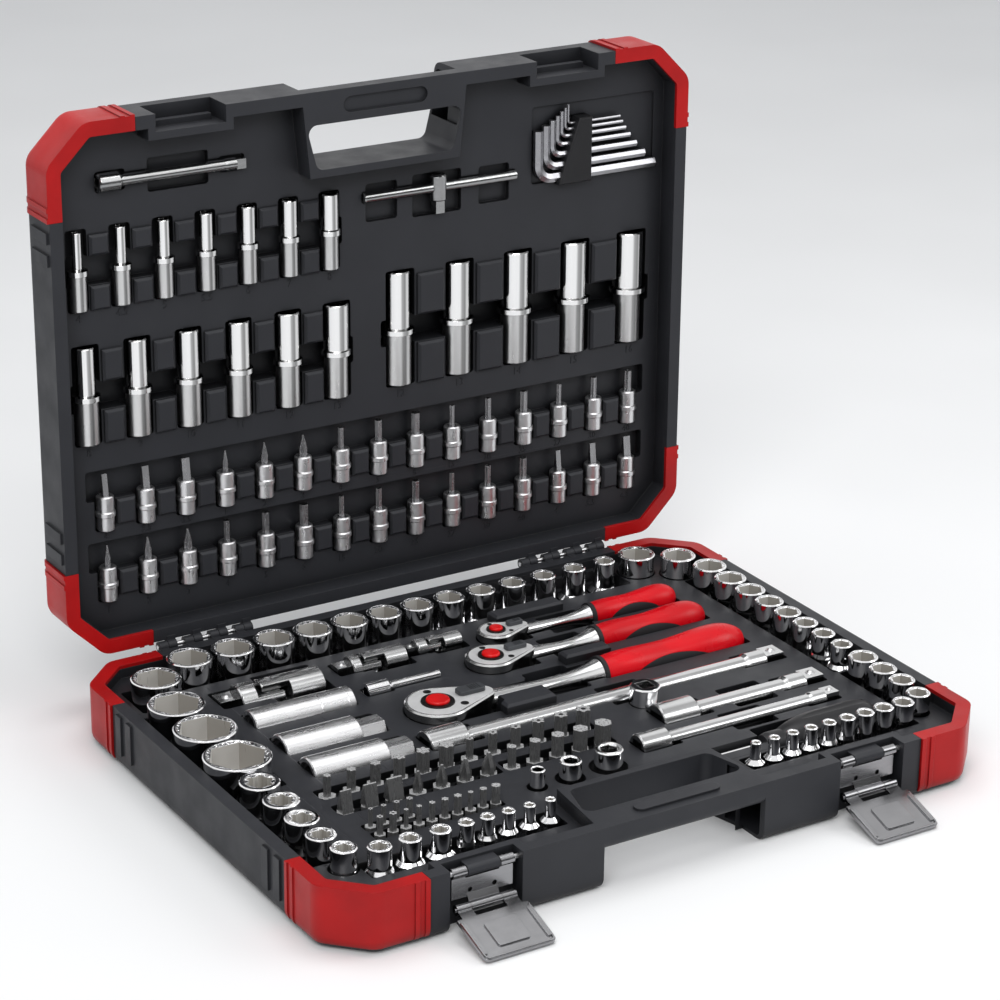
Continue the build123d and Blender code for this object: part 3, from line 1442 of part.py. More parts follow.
# Angled hex keys, nested in their holder: rows up the lid, ends of the long and short arms
Key = namedtuple("Key", "size s end top")
KEYS = [
    Key(6.0, 264.5, 213.0, 297.0),
    Key(5.0, 272.0, 205.0, 300.0),
    Key(4.0, 279.3, 198.5, 303.0),
    Key(3.0, 285.8, 193.5, 305.5),
    Key(2.5, 291.0, 190.0, 308.0),
    Key(2.0, 295.4, 187.5, 310.0),
    Key(1.5, 299.2, 185.5, 312.0),
]
KEY_X = 121.5  # short arm of the largest key
KEY_GAP = 0.5  # between neighbouring short arms
KEY_DEPTH = 13.5
KEY_BEND = 1.6  # bend radius as a share of the size
RACK_LOW = 259.5
RACK_HIGH = 303.0
RACK_LEFT = 135.5
RACK_SLANT = 15.5
RACK_RIGHT = 161.0
RACK_T = 10.0


def key_places():
    """x of each key's short arm."""
    places = [KEY_X]
    for key, inner in zip(KEYS, KEYS[1:]):
        places.append(places[-1] + (key.size + inner.size) / 2 + KEY_GAP)
    return places


def key_plane(key, x):
    """Corner of a key's arms: local Z along the long arm, local X along the short one."""
    return Plane(lid_point(x, key.s, KEY_DEPTH), x_dir=LID.plane.y_dir, z_dir=LID.plane.x_dir)


def hex_key(key, x):
    long = key.end - x
    with BuildPart() as bent:
        with BuildLine() as route:
            FilletPolyline((0, 0, long), (0, 0, 0), (key.top - key.s, 0, 0), radius=KEY_BEND * key.size)
        with BuildSketch(Plane((0, 0, long), x_dir=(1, 0, 0), z_dir=(0, 0, -1))):
            RegularPolygon(key.size / 2, 6, major_radius=False, rotation=30)
        sweep(path=route.wire())
    return bent.part


key_xs = key_places()
save("hex_keys", [placed(hex_key(key, x), key_plane(key, x)) for key, x in zip(KEYS, key_xs)])
rack_plane = Plane(lid_point(0, 0, KEY_DEPTH), x_dir=LID.plane.x_dir, z_dir=LID.plane.z_dir)
with BuildPart() as rack:
    with BuildSketch(rack_plane):
        Polygon(
            (RACK_LEFT, RACK_LOW),
            (RACK_RIGHT, RACK_LOW),
            (RACK_RIGHT, RACK_HIGH),
            (RACK_LEFT + RACK_SLANT, RACK_HIGH),
            align=None,
        )
    extrude(amount=RACK_T / 2, both=True)
    above = Axis(rack_plane.origin, rack_plane.z_dir)
    chamfer(rack.faces().sort_by(above)[-1].edges(), 1.0)
    for key, x in zip(KEYS, key_xs):
        with BuildSketch(key_plane(key, x)):
            RegularPolygon(key.size / 2 + RUN, 6, major_radius=False, rotation=30)
        extrude(amount=key.end - x, mode=Mode.SUBTRACT)
save("hex_key_holder", [rack.part])
rack_s = (RACK_LOW + RACK_HIGH) / 2
rack_x = (RACK_LEFT + RACK_RIGHT) / 2
slot_pocket(
    lid_pockets, rack_x, rack_s, RACK_RIGHT - RACK_LEFT, RACK_HIGH - RACK_LOW, KEY_DEPTH + RACK_T / 2
)
key_left = KEY_X - KEYS[0].size / 2
key_low = KEYS[0].s - KEYS[0].size / 2
key_high = KEYS[-1].top
key_long = KEYS[0].end - key_left
key_floor = KEY_DEPTH + 1.1547 * KEYS[0].size / 2
slot_pocket(
    lid_pockets, key_left + key_long / 2, (key_low + key_high) / 2, key_long, key_high - key_low, key_floor
)

# Hinge pins
pin_long = (HINGE_PAIRS - 1) * PAIR_PITCH + 2 * KNUCKLE_W + SEAT + 1.0
pins = []
for side in (-1, 1):
    with BuildPart() as hinge_pin:
        with Locations((side * HINGE_X, HINGE_Y, HINGE_Z)):
            Cylinder(HINGE_PIN_R, pin_long, rotation=(0, 90, 0))
    pins.append(hinge_pin.part)
save("hinge_pins", pins)

# Latches
lever_pin_y = latch_pin_y - LEVER_OUT
lever_pin_z = latch_pin_z - LINK_L
LEVER_PIN_R = 1.4
lever_line = radians(LEVER_REST)
web_low = lever_pin_z + EYE_R + 1.6  # flat of the plate between its eyes
web_high = latch_pin_z - EYE_R - 1.0
latch_pins = []
for side, name in ((-1, "left"), (1, "right")):
    x = side * LATCH_X
    with BuildPart() as plate_pin:
        with Locations((x, latch_pin_y, latch_pin_z)):
            Cylinder(LATCH_PIN_R, LATCH_PIN_L, rotation=(0, 90, 0))
    latch_pins.append(plate_pin.part)
    with BuildPart() as plate:
        with BuildSketch(Plane.XZ.offset(-latch_pin_y)):
            with Locations((x, (web_low + web_high) / 2)):
                Rectangle(LINK_W, web_high - web_low)
            with Locations(*[(x + way * 0.2 * LINK_W, web_low + 4.0) for way in (-1, 1)]):
                Circle(1.5, mode=Mode.SUBTRACT)
        extrude(amount=LINK_T / 2, both=True)
        for way in (-1, 1):
            with BuildSketch(Plane.YZ.offset(x + way * (LINK_W / 2 - EYE_W / 2))):
                with Locations((latch_pin_y, (latch_pin_z + web_high) / 2 - 1.0)):
                    Rectangle(LINK_T, latch_pin_z - web_high + 2.0)
                with Locations((latch_pin_y, latch_pin_z)):
                    Circle(EYE_R)
                    Circle(LATCH_PIN_R + RUN, mode=Mode.SUBTRACT)
            extrude(amount=EYE_W / 2, both=True)
        with BuildSketch(Plane.YZ.offset(x)):
            Polygon(
                (latch_pin_y - LINK_T / 2, web_low + 2.0),
                (lever_pin_y - LINK_T / 2, lever_pin_z),
                (lever_pin_y + LINK_T / 2, lever_pin_z),
                (latch_pin_y + LINK_T / 2, web_low + 2.0),
                align=None,
            )
            with Locations((lever_pin_y, lever_pin_z)):
                Circle(EYE_R)
                Circle(LEVER_PIN_R + RUN, mode=Mode.SUBTRACT)
        extrude(amount=LINK_W / 4, both=True)
    save(f"latch_plate_{name}", [plate.part])
    with BuildPart() as lever_pin:
        with Locations((x, lever_pin_y, lever_pin_z)):
            Cylinder(LEVER_PIN_R, LINK_W, rotation=(0, 90, 0))
    save(f"latch_lever_pin_{name}", [lever_pin.part])
    blade = Plane(
        (x, lever_pin_y, lever_pin_z),
        x_dir=(1, 0, 0),
        z_dir=(0, -cos(lever_line), sin(lever_line)),
    )
    with BuildPart() as lever:
        with BuildSketch(blade.offset(-LEVER_T / 2)):
            with Locations((0, -LEVER_L / 2)):
                RectangleRounded(LATCH_W, LEVER_L, 3.0)
            with Locations((0, 0)):
                Rectangle(LATCH_W + 2, 5 * EYE_R, mode=Mode.SUBTRACT)
            with Locations(*[(way * (LINK_W / 4 + EYE_W / 2 + SEAT), -1.3 * EYE_R) for way in (-1, 1)]):
                Rectangle(EYE_W, 2.6 * EYE_R)
        extrude(amount=LEVER_T)
        with BuildSketch(blade.offset(LEVER_T / 2)):
            with Locations((0, -0.6 * LEVER_L)):
                RectangleRounded(0.46 * LATCH_W, 0.46 * LEVER_L, 2.0)
            with Locations(*[(way * (LATCH_W / 2 - 2.5), -0.6 * LEVER_L) for way in (-1, 1)]):
                RectangleRounded(2.4, 0.6 * LEVER_L, 1.0)
        extrude(amount=1.0)
        with Locations(
            *[(x + way * (LINK_W / 4 + EYE_W / 2 + SEAT), lever_pin_y, lever_pin_z) for way in (-1, 1)]
        ):
            Cylinder(EYE_R, EYE_W, rotation=(0, 90, 0))
        with Locations((x, lever_pin_y, lever_pin_z)):
            Cylinder(LEVER_PIN_R + RUN, LATCH_W, rotation=(0, 90, 0), mode=Mode.SUBTRACT)
    save(f"latch_lever_{name}", [lever.part])
save("latch_plate_pins", latch_pins)

# Inner trays with a cup for every tool


def prism(half, pocket, grow, top, bottom):
    with BuildPart() as form:
        with BuildSketch(half.plane.offset(-top)):
            with Locations((pocket.x, pocket.y)):
                if pocket.long is None:
                    Circle(pocket.wide / 2 + grow)
                else:
                    RectangleRounded(pocket.long + 2 * grow, pocket.wide + 2 * grow, POCKET_ROUND + grow)
        extrude(amount=-(bottom - top))
    return form.part


def raised(half, block):
    """Block with chamfered top edges that stands up from the tray."""
    with BuildPart() as form:
        with BuildSketch(half.plane.offset(-half.drop - TRAY_WALL / 2)):
            with Locations((block.x, block.y)):
                Rectangle(block.long, block.wide)
        extrude(amount=TRAY_WALL / 2 + block.rise)
        above = Axis(half.plane.origin, half.plane.z_dir)
        chamfer(form.faces().sort_by(above)[-1].edges(), BLOCK_EDGE)
    return form.part


def tray(half, pockets, blocks):
    cups = [prism(half, p, TRAY_WALL, half.drop, p.depth + TRAY_WALL) for p in pockets]
    cups += [raised(half, block) for block in blocks]
    wells = [prism(half, p, 0, half.drop - PLATEAU_RISE - 1.0, p.depth) for p in pockets]
    area = tray_area(half, 0)
    wall_area = tray_area(half, TRAY_WALL)
    with BuildPart() as sheet:
        with BuildSketch(half.plane.offset(-LIP_T)):
            add(wall_area)
        extrude(amount=-(half.drop + TRAY_WALL - LIP_T))
        with BuildSketch(half.plane.offset(-LIP_T)):
            add(area)
        extrude(amount=-(half.drop - LIP_T), mode=Mode.SUBTRACT)
        add(cups)
        add(wells, mode=Mode.SUBTRACT)
    return sheet.part


# Sections of the base tray, which butt together: left, right, low, high
SIDE_CUT = -179.6  # left column's floor to the spark plug bay
BACK_CUT = 129.2  # bays to the back row's floor
CORNER_X = -177.9
COLUMN_LOW, COLUMN_HIGH = -17.3, 102.9
PLUG_LEFT, PLUG_RIGHT = -160.4, -118.0
FRONT_CUT = -121.8
FAR = 250.0
plug_edges = [-FAR, -11.8, -2.2, 22.2, 33.8, 62.9, 71.1, BACK_CUT]
SECTIONS = [
    (CORNER_X, FAR, 158.4, FAR),
    (CORNER_X, 161.7, BACK_CUT, 158.4),
    (161.7, FAR, BACK_CUT, 158.4),
    (-FAR, CORNER_X, 143.1, FAR),
    (-210.1, CORNER_X, 110.9, 143.1),
    (-FAR, -210.1, 110.9, 143.1),
    (-FAR, CORNER_X, COLUMN_HIGH, 110.9),
    (-FAR, -221.4, COLUMN_LOW, COLUMN_HIGH),
    (-221.4, SIDE_CUT, COLUMN_LOW, COLUMN_HIGH),
    (-FAR, SIDE_CUT, -FAR, COLUMN_LOW),
    (SIDE_CUT, PLUG_LEFT, -FAR, COLUMN_HIGH),
    (CORNER_X, PLUG_LEFT, COLUMN_HIGH, BACK_CUT),
    (PLUG_RIGHT, FAR, FRONT_CUT, BACK_CUT),
    (PLUG_RIGHT, 0, -FAR, FRONT_CUT),
    (0, FAR, -FAR, FRONT_CUT),
]
SECTIONS += [(PLUG_LEFT, PLUG_RIGHT, low, high) for low, high in zip(plug_edges, plug_edges[1:])]


def section(whole, left, right, low, high):
    """Part of a tray between four upright planes."""
    with BuildPart() as piece:
        add(whole)
        with Locations(((left + right) / 2, (low + high) / 2, BASE_H / 2)):
            Box(right - left, high - low, 2 * BASE_H, mode=Mode.INTERSECT)
    return piece.part.solids()


base_sheet = tray(BASE, base_pockets, base_blocks)
base_sections = []
for left, right, low, high in SECTIONS:
    base_sections += section(base_sheet, left, right, low, high)
save_apart("base_tray", base_sections)
save("lid_tray", [tray(LID, lid_pockets, lid_blocks)])
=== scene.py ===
import bmesh
import bpy
from math import cos, pi, radians, sin
from mathutils import Matrix, Vector


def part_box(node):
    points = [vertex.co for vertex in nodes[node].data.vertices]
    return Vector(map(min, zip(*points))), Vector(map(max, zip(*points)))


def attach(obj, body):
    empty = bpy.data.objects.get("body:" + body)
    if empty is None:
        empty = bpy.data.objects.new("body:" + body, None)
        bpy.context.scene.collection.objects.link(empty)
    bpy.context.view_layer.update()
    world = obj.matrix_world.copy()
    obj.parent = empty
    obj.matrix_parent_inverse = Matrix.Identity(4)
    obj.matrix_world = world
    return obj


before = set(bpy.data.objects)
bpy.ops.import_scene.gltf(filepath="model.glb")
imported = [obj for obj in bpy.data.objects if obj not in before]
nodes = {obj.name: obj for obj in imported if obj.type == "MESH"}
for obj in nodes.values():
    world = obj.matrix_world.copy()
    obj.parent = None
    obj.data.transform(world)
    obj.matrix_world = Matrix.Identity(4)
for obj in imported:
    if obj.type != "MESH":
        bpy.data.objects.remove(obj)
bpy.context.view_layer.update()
scene = bpy.context.scene
scene.view_settings.view_transform = "Standard"

MM = 0.001
HINGE = Vector((0, 175.5, 40.2)) * MM
LEAN = radians(0.6)
UP = Vector((0, sin(LEAN), cos(LEAN)))  # up the open lid
OUT = Vector((0, -cos(LEAN), sin(LEAN)))  # out of the open lid
RIM = HINGE - OUT * 0.2 * MM


def lid_at(x, s, depth):
    """Point on the open lid: x across, s up from the hinge, depth behind the rim, in mm."""
    return Vector((x * MM, 0, 0)) + RIM + UP * s * MM - OUT * depth * MM


# Materials


def srgb(r, g, b):
    def linear(v):
        v /= 255
        return v / 12.92 if v <= 0.04045 else ((v + 0.055) / 1.055) ** 2.4

    return (linear(r), linear(g), linear(b), 1)


MIX_A, MIX_B, MIX_RESULT = 6, 7, 2  # colour sockets of a mix node


class Shade:
    """A principled material whose nodes are laid in order."""

    def __init__(self, name):
        self.mat = bpy.data.materials.new(name)
        self.mat.use_nodes = True
        self.tree = self.mat.node_tree
        self.bsdf = self.tree.nodes["Principled BSDF"]
        self.coords = self.add("ShaderNodeTexCoord").outputs["Object"]

    def add(self, kind, **values):
        node = self.tree.nodes.new(kind)
        for key, value in values.items():
            setattr(node, key, value)
        return node

    def link(self, a, b):
        self.tree.links.new(a, b)

    def noise(self, scale, detail=3.0, stretch=None):
        node = self.add("ShaderNodeTexNoise")
        node.inputs["Scale"].default_value = scale
        node.inputs["Detail"].default_value = detail
        source = self.coords
        if stretch:
            mapping = self.add("ShaderNodeMapping")
            mapping.inputs["Scale"].default_value = stretch
            self.link(source, mapping.inputs["Vector"])
            source = mapping.outputs["Vector"]
        self.link(source, node.inputs["Vector"])
        return node.outputs["Fac"]

    def ramp(self, value, low, high, a=0.3, b=0.7):
        node = self.add("ShaderNodeValToRGB")
        node.color_ramp.elements[0].position = a
        node.color_ramp.elements[1].position = b
        node.color_ramp.elements[0].color = low
        node.color_ramp.elements[1].color = high
        self.link(value, node.inputs["Fac"])
        return node.outputs["Color"]

    def span(self, value, low, high, a=0.3, b=0.7):
        node = self.add("ShaderNodeMapRange")
        node.inputs["From Min"].default_value = a
        node.inputs["From Max"].default_value = b
        node.inputs["To Min"].default_value = low
        node.inputs["To Max"].default_value = high
        self.link(value, node.inputs["Value"])
        return node.outputs["Result"]

    def facing(self, axis):
        """How far the surface faces along an axis, from -1 to 1."""
        apart = self.add("ShaderNodeSeparateXYZ")
        self.link(self.add("ShaderNodeNewGeometry").outputs["Normal"], apart.inputs[0])
        return apart.outputs[axis]

    def multiply(self, colour, other):
        blend = self.add("ShaderNodeMix", data_type="RGBA", blend_type="MULTIPLY")
        blend.inputs["Factor"].default_value = 1.0
        self.link(colour, blend.inputs[MIX_A])
        self.link(other, blend.inputs[MIX_B])
        return blend.outputs[MIX_RESULT]

    def paint_shade_in_nooks(self, colour, low, distance=0.022):
        """Paint shade into a colour in recesses, where little light comes in."""
        # Painted shade: ambient occlusion darkens the colour in recesses
        painted_nook_shade = self.add("ShaderNodeAmbientOcclusion", samples=8)
        painted_nook_shade.inputs["Distance"].default_value = distance
        return self.multiply(colour, self.span(painted_nook_shade.outputs["AO"], low, 1.0, 0.2, 0.9))

    def paint_reflection_streaks(self, colour, axis, stops):
        """Paint bright and dark reflection streaks over the turn of a round bar, by which way the surface
        faces, as polished steel shows.
        """
        reflection_bands = self.add("ShaderNodeValToRGB")
        reflection_bands.color_ramp.interpolation = "EASE"
        marks = reflection_bands.color_ramp.elements
        for k, (place, grey) in enumerate(stops):
            stop = marks[k] if k < 2 else marks.new(place)
            stop.position = place
            stop.color = (grey, grey, grey, 1)
        self.link(self.span(self.facing(axis), 0, 1, -1, 1), reflection_bands.inputs["Fac"])
        return self.multiply(colour, reflection_bands.outputs["Color"])

    def bump(self, value, strength, distance, edge=0.0):
        node = self.add("ShaderNodeBump")
        node.inputs["Strength"].default_value = strength
        node.inputs["Distance"].default_value = distance
        self.link(value, node.inputs["Height"])
        if edge:
            soft = self.add("ShaderNodeBevel", samples=4)
            soft.inputs["Radius"].default_value = edge
            self.link(soft.outputs["Normal"], node.inputs["Normal"])
        self.link(node.outputs["Normal"], self.bsdf.inputs["Normal"])


def tint(colour, factor):
    return tuple(min(1, c * factor) for c in colour[:3]) + (1,)


def plastic(name, colour, rough, grain=1400, strength=0.25, edge=0.0006, vary=0.18, painted_nook_shade=0.0):
    """Moulded plastic with a fine grain and slight shifts of tone, with painted shade in its nooks."""
    shade = Shade(name)
    tone = shade.ramp(shade.noise(26, 4), tint(colour, 1 - vary), tint(colour, 1 + vary))
    # Painted shade darkens the colour in nooks
    if painted_nook_shade:
        tone = shade.paint_shade_in_nooks(tone, painted_nook_shade)
    shade.link(tone, shade.bsdf.inputs["Base Color"])
    shade.bsdf.inputs["Specular IOR Level"].default_value = 0.25
    shade.link(shade.span(shade.noise(60, 4), rough - 0.06, rough + 0.08), shade.bsdf.inputs["Roughness"])
    shade.bump(shade.noise(grain, 2), strength, 0.0002, edge)
    return shade.mat


def metal(name, colour, rough, brush=None, strength=0.05, edge=0.0003, vary=0.06, sheen=1.0, painted_streaks=None):
    """Bare or plated steel; brush stretches the polishing marks, sheen is how mirror-like it is."""
    shade = Shade(name)
    shade.bsdf.inputs["Metallic"].default_value = sheen
    tone = shade.ramp(shade.noise(90, 4), tint(colour, 1 - vary), tint(colour, 1 + vary))
    # Painted reflections: bright and dark streaks by which way the surface faces
    if painted_streaks:
        tone = shade.paint_reflection_streaks(tone, "Z", painted_streaks)
    shade.link(tone, shade.bsdf.inputs["Base Color"])
    marks = shade.noise(500, 5, brush or (1, 1, 1))
    shade.link(shade.span(marks, rough * 0.85, rough * 1.18), shade.bsdf.inputs["Roughness"])
    shade.bump(marks, strength, 0.0001, edge)
    return shade.mat


SPLIT_BLUR = 0.0004  # half the height over which one finish turns into the other


def two_tone(name, split, low, high, polish, painted_streaks=None):
    """Steel in two tones and finishes: satin below the split height, its own polish above it."""
    shade = Shade(name)
    shade.bsdf.inputs["Metallic"].default_value = 1.0
    apart = shade.add("ShaderNodeSeparateXYZ")
    shade.link(shade.coords, apart.inputs[0])
    height = apart.outputs["Z"]
    step = (split - SPLIT_BLUR, split + SPLIT_BLUR)
    tone = shade.span(height, low, high, *step)
    # Painted reflections: bright and dark streaks by which way the surface faces
    if painted_streaks:
        tone = shade.paint_reflection_streaks(tone, "X", painted_streaks)
    shade.link(tone, shade.bsdf.inputs["Base Color"])
    marks = shade.noise(700, 5, (1, 1, 0.15))
    satin = shade.span(marks, 0.27, 0.33)
    finish = shade.add("ShaderNodeMix")
    shade.link(shade.span(height, 0, 1, *step), finish.inputs["Factor"])
    shade.link(satin, finish.inputs["A"])
    finish.inputs["B"].default_value = polish
    shade.link(finish.outputs["Result"], shade.bsdf.inputs["Roughness"])
    shade.bump(marks, 0.012, 0.0001, 0.0003)
    return shade.mat


def bit_steel_with_painted_highlight(name, side, top, rough):
    """Hardened dark steel with a painted highlight: lighter on whichever faces point up, darker on its
    sides.
    """
    shade = Shade(name)
    shade.bsdf.inputs["Metallic"].default_value = 0.55
    # Painted highlight: faces pointing up are lighter, sides darker
    shade.link(shade.span(shade.facing("Z"), side, top, 0.5, 0.95), shade.bsdf.inputs["Base Color"])
    marks = shade.noise(600, 4, (1, 1, 0.2))
    shade.link(shade.span(marks, rough * 0.85, rough * 1.15), shade.bsdf.inputs["Roughness"])
    shade.bump(marks, 0.03, 0.0001, 0.0002)
    return shade.mat


def bore_steel_with_painted_shade(name, dark, light, rough):
    """Broached steel inside a socket, with painted light and shade: flats facing +x lighter, flats facing
    -x darker.
    """
    shade = Shade(name)
    shade.bsdf.inputs["Metallic"].default_value = 0.3
    # Painted light and shade by which way each flat faces
    flat = shade.span(shade.facing("X"), 0, 1, -0.9, 0.9)
    shade.link(shade.ramp(flat, dark, light, 0.0, 1.0), shade.bsdf.inputs["Base Color"])
    marks = shade.noise(500, 4, (1, 1, 0.08))
    shade.link(shade.span(marks, rough * 0.8, rough * 1.2), shade.bsdf.inputs["Roughness"])
    shade.bump(marks, 0.04, 0.0001)
    return shade.mat


# Case, tray and guards carry painted shade in their nooks
CASE = plastic("case_black", srgb(45, 46, 50), 0.46, 1500, 0.3, vary=0.07, painted_nook_shade=0.4)
TRAY = plastic("tray_black", srgb(44, 45, 49), 0.42, 1700, 0.2, 0.0009, 0.07, painted_nook_shade=0.12)
GUARD = plastic("guard_red", srgb(166, 10, 12), 0.4, 1500, 0.2, painted_nook_shade=0.5)
GRIP = plastic("grip_red", srgb(202, 4, 20), 0.3, 900, 0.06)
BUTTON = plastic("button_red", srgb(206, 14, 16), 0.2, 900, 0.04)
SOFT = plastic("soft_black", srgb(34, 34, 36), 0.55, 1800, 0.25)
HARD = plastic("hard_black", srgb(32, 32, 34), 0.36, 1500, 0.15)
LEVER = plastic("lever_grey", srgb(66, 68, 71), 0.32, 1500, 0.1)
CHROME = metal("chrome", (0.83, 0.83, 0.84, 1), 0.07, None, 0.015)
# Painted reflection greys over the turn of a bar, from facing one way (0) to facing the other (1)
LYING_REFLECTIONS = (
    (0.0, 0.4),
    (0.5, 0.4),
    (0.58, 0.55),
    (0.7, 1.0),
    (0.81, 0.95),
    (0.89, 0.5),
    (0.94, 0.5),
    (0.985, 0.9),
)
# Painted reflection greys over the turn of a standing socket
STANDING_REFLECTIONS = (
    (0.0, 0.55),
    (0.02, 0.55),
    (0.12, 1.0),
    (0.36, 1.0),
    (0.46, 0.42),
    (0.56, 0.3),
    (0.66, 0.8),
    (1.0, 0.6),
)
PLATED = metal("plated_steel", (0.74, 0.745, 0.75, 1), 0.2, (0.15, 1, 1), 0.006, vary=0.03, painted_streaks=LYING_REFLECTIONS)
KEYS = metal("key_steel", (0.4, 0.4, 0.42, 1), 0.3, (0.15, 1, 1), 0.006, vary=0.03)
PLUGS = metal("plug_steel", (0.68, 0.68, 0.69, 1), 0.28, (0.15, 1, 1), 0.004, vary=0.03)
SATIN = metal("satin_steel", (0.66, 0.66, 0.67, 1), 0.3, (1, 1, 0.12), 0.01, vary=0.03)
LATCH = metal("latch_steel", (0.3, 0.3, 0.31, 1), 0.22, (0.1, 1, 1), 0.01, vary=0.04)
DARK = bit_steel_with_painted_highlight("dark_steel", 0.16, 0.62, 0.28)
TIPS = metal("tip_steel", (0.34, 0.34, 0.35, 1), 0.28, (1, 1, 0.2), 0.03)
COVER = metal("cover_steel", (0.78, 0.78, 0.78, 1), 0.36, None, 0.01, sheen=0.45)
BORE = bore_steel_with_painted_shade("bore_steel_with_painted_shade", (0.34, 0.32, 0.29, 1), (0.86, 0.84, 0.8, 1), 0.34)
BLACKED = metal("blacked_steel", (0.035, 0.035, 0.037, 1), 0.42)


def wear(material, *names):
    for name in names:
        node = nodes[name]
        node.data.materials.clear()
        node.data.materials.append(material)


SIZES = ("half_inch", "three_eighths", "quarter_inch")
# Heights in metres at which the finish of the deep sockets and of the ratchet drives changes
DEEP_SPLITS = (("quarter_inch", 0.2897), ("three_eighths", 0.2086), ("half_inch", 0.2149))
DRIVE_SPLITS = (("quarter_inch", 0.0311), ("three_eighths", 0.0296), ("half_inch", 0.0281))
wear(CASE, "base_shell", "lid_shell")
wear(TRAY, "base_tray", "lid_tray")
wear(GUARD, "base_corner_guards", "lid_corner_guards")
wear(CHROME, "half_inch_sockets", "three_eighths_sockets", "quarter_inch_sockets", "star_sockets")
wear(CHROME, "adapters", "spinner_shaft")
wear(PLATED, "ratchet_bodies", "extension_bars", "joint_drive_forks")
wear(PLUGS, "spark_plug_sockets")
for size, split in DEEP_SPLITS:
    wear(two_tone(f"deep_{size}_steel", split, 0.66, 0.8, 0.1, STANDING_REFLECTIONS), f"deep_{size}_sockets")
for size, split in DRIVE_SPLITS:
    wear(two_tone(f"{size}_drive_steel", split, 0.66, 0.03, 0.3), f"{size}_ratchet_drive")
wear(PLATED, "lid_extension_bar", "t_bar_rod", "t_bar_slider")
wear(PLATED, *[f"{size}_joint_socket" for size in SIZES])
wear(SATIN, *[f"{size}_joint_cross" for size in SIZES])
wear(SATIN, "bit_socket_holders", "hinge_pins", "latch_plate_pins", "ratchet_pawls")
wear(KEYS, "hex_keys")
wear(COVER, "ratchet_covers")
wear(LATCH, "latch_plate_left", "latch_plate_right", "latch_lever_left", "latch_lever_right")
wear(LATCH, "latch_lever_pin_left", "latch_lever_pin_right")
wear(DARK, "star_bits", "screwdriver_bits", "hexagon_bits", "short_bits")
wear(BLACKED, "ratchet_screws")
wear(TIPS, "bit_socket_tips")
wear(GRIP, "ratchet_grips")
wear(BUTTON, *[f"{size}_release_button" for size in SIZES])
wear(SOFT, "ratchet_inlays", "spark_plug_inserts")
wear(HARD, "spinner_grip", "hex_key_holder")
wear(LEVER, *[f"{size}_reversing_lever" for size in SIZES])

# Pieces


def piece(name, mesh, body, material):
    """A new mesh piece that rides on a body and takes its finish from a slot."""
    obj = bpy.data.objects.new(name, mesh)
    scene.collection.objects.link(obj)
    mesh.materials.append(material)
    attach(obj, body)
    return obj


def spun(form, profile, place, axis, steps=16):
    """Add a small turned form, (radius, height) points, to a bmesh."""
    turn = Vector(axis).to_track_quat("Z", "X").to_matrix().to_4x4()
    frame_at = Matrix.Translation(place) @ turn
    rings = []
    for radius, height in profile:
        if radius == 0:
            rings.append([form.verts.new(frame_at @ Vector((0, 0, height)))])
            continue
        angles = [2 * pi * k / steps for k in range(steps)]
        points = [Vector((radius * cos(a), radius * sin(a), height)) for a in angles]
        rings.append([form.verts.new(frame_at @ point) for point in points])
    for low, high in zip(rings, rings[1:]):
        for k in range(steps):
            n = (k + 1) % steps
            quad = [low[k % len(low)], low[n % len(low)], high[n % len(high)], high[k % len(high)]]
            corners = list(dict.fromkeys(quad))
            if len(corners) > 2:
                form.faces.new(corners)


def done(form, name, smooth=True):
    mesh = bpy.data.meshes.new(name)
    bmesh.ops.recalc_face_normals(form, faces=form.faces)
    form.to_mesh(mesh)
    form.free()
    mesh.polygons.foreach_set("use_smooth", [smooth] * len(mesh.polygons))
    return mesh


# Raised size numbers on the lid's tray
LID_DROP = 15.5
TIP_TALL, DEEP_TALL = 4.4, 5.0
TIP_START, TIP_PITCH, TIP_COUNT = -195, 28.05, 15
TIP_ROWS = (76.3, 26.5)


def number(form, text, place, tall):
    """Add a plain raised number, centred on a place of the lid's tray."""
    curve = bpy.data.curves.new("number", "FONT")
    curve.body = text
    curve.size = tall * 1.4
    curve.align_x = "CENTER"
    curve.align_y = "CENTER"
    curve.extrude = 0.25
    curve.resolution_u = 2
    obj = bpy.data.objects.new("number", curve)
    scene.collection.objects.link(obj)
    mesh = bpy.data.meshes.new_from_object(obj.evaluated_get(bpy.context.evaluated_depsgraph_get()))
    bpy.data.objects.remove(obj)
    bpy.data.curves.remove(curve)
    axes = Matrix((Vector((1, 0, 0)), UP, OUT)).transposed().to_4x4()
    mesh.transform(Matrix.Translation(place) @ axes @ Matrix.Scale(MM, 4))
    form.from_mesh(mesh)
    bpy.data.meshes.remove(mesh)


TIP_NUMBERS = {
    "slot": ("4", "5.5", "6.5"),
    "cross": ("1", "2", "3"),
    "hex": ("4", "5", "6"),
    "star": ("15", "20", "25"),
    "tamper": ("27", "30", "40"),
}
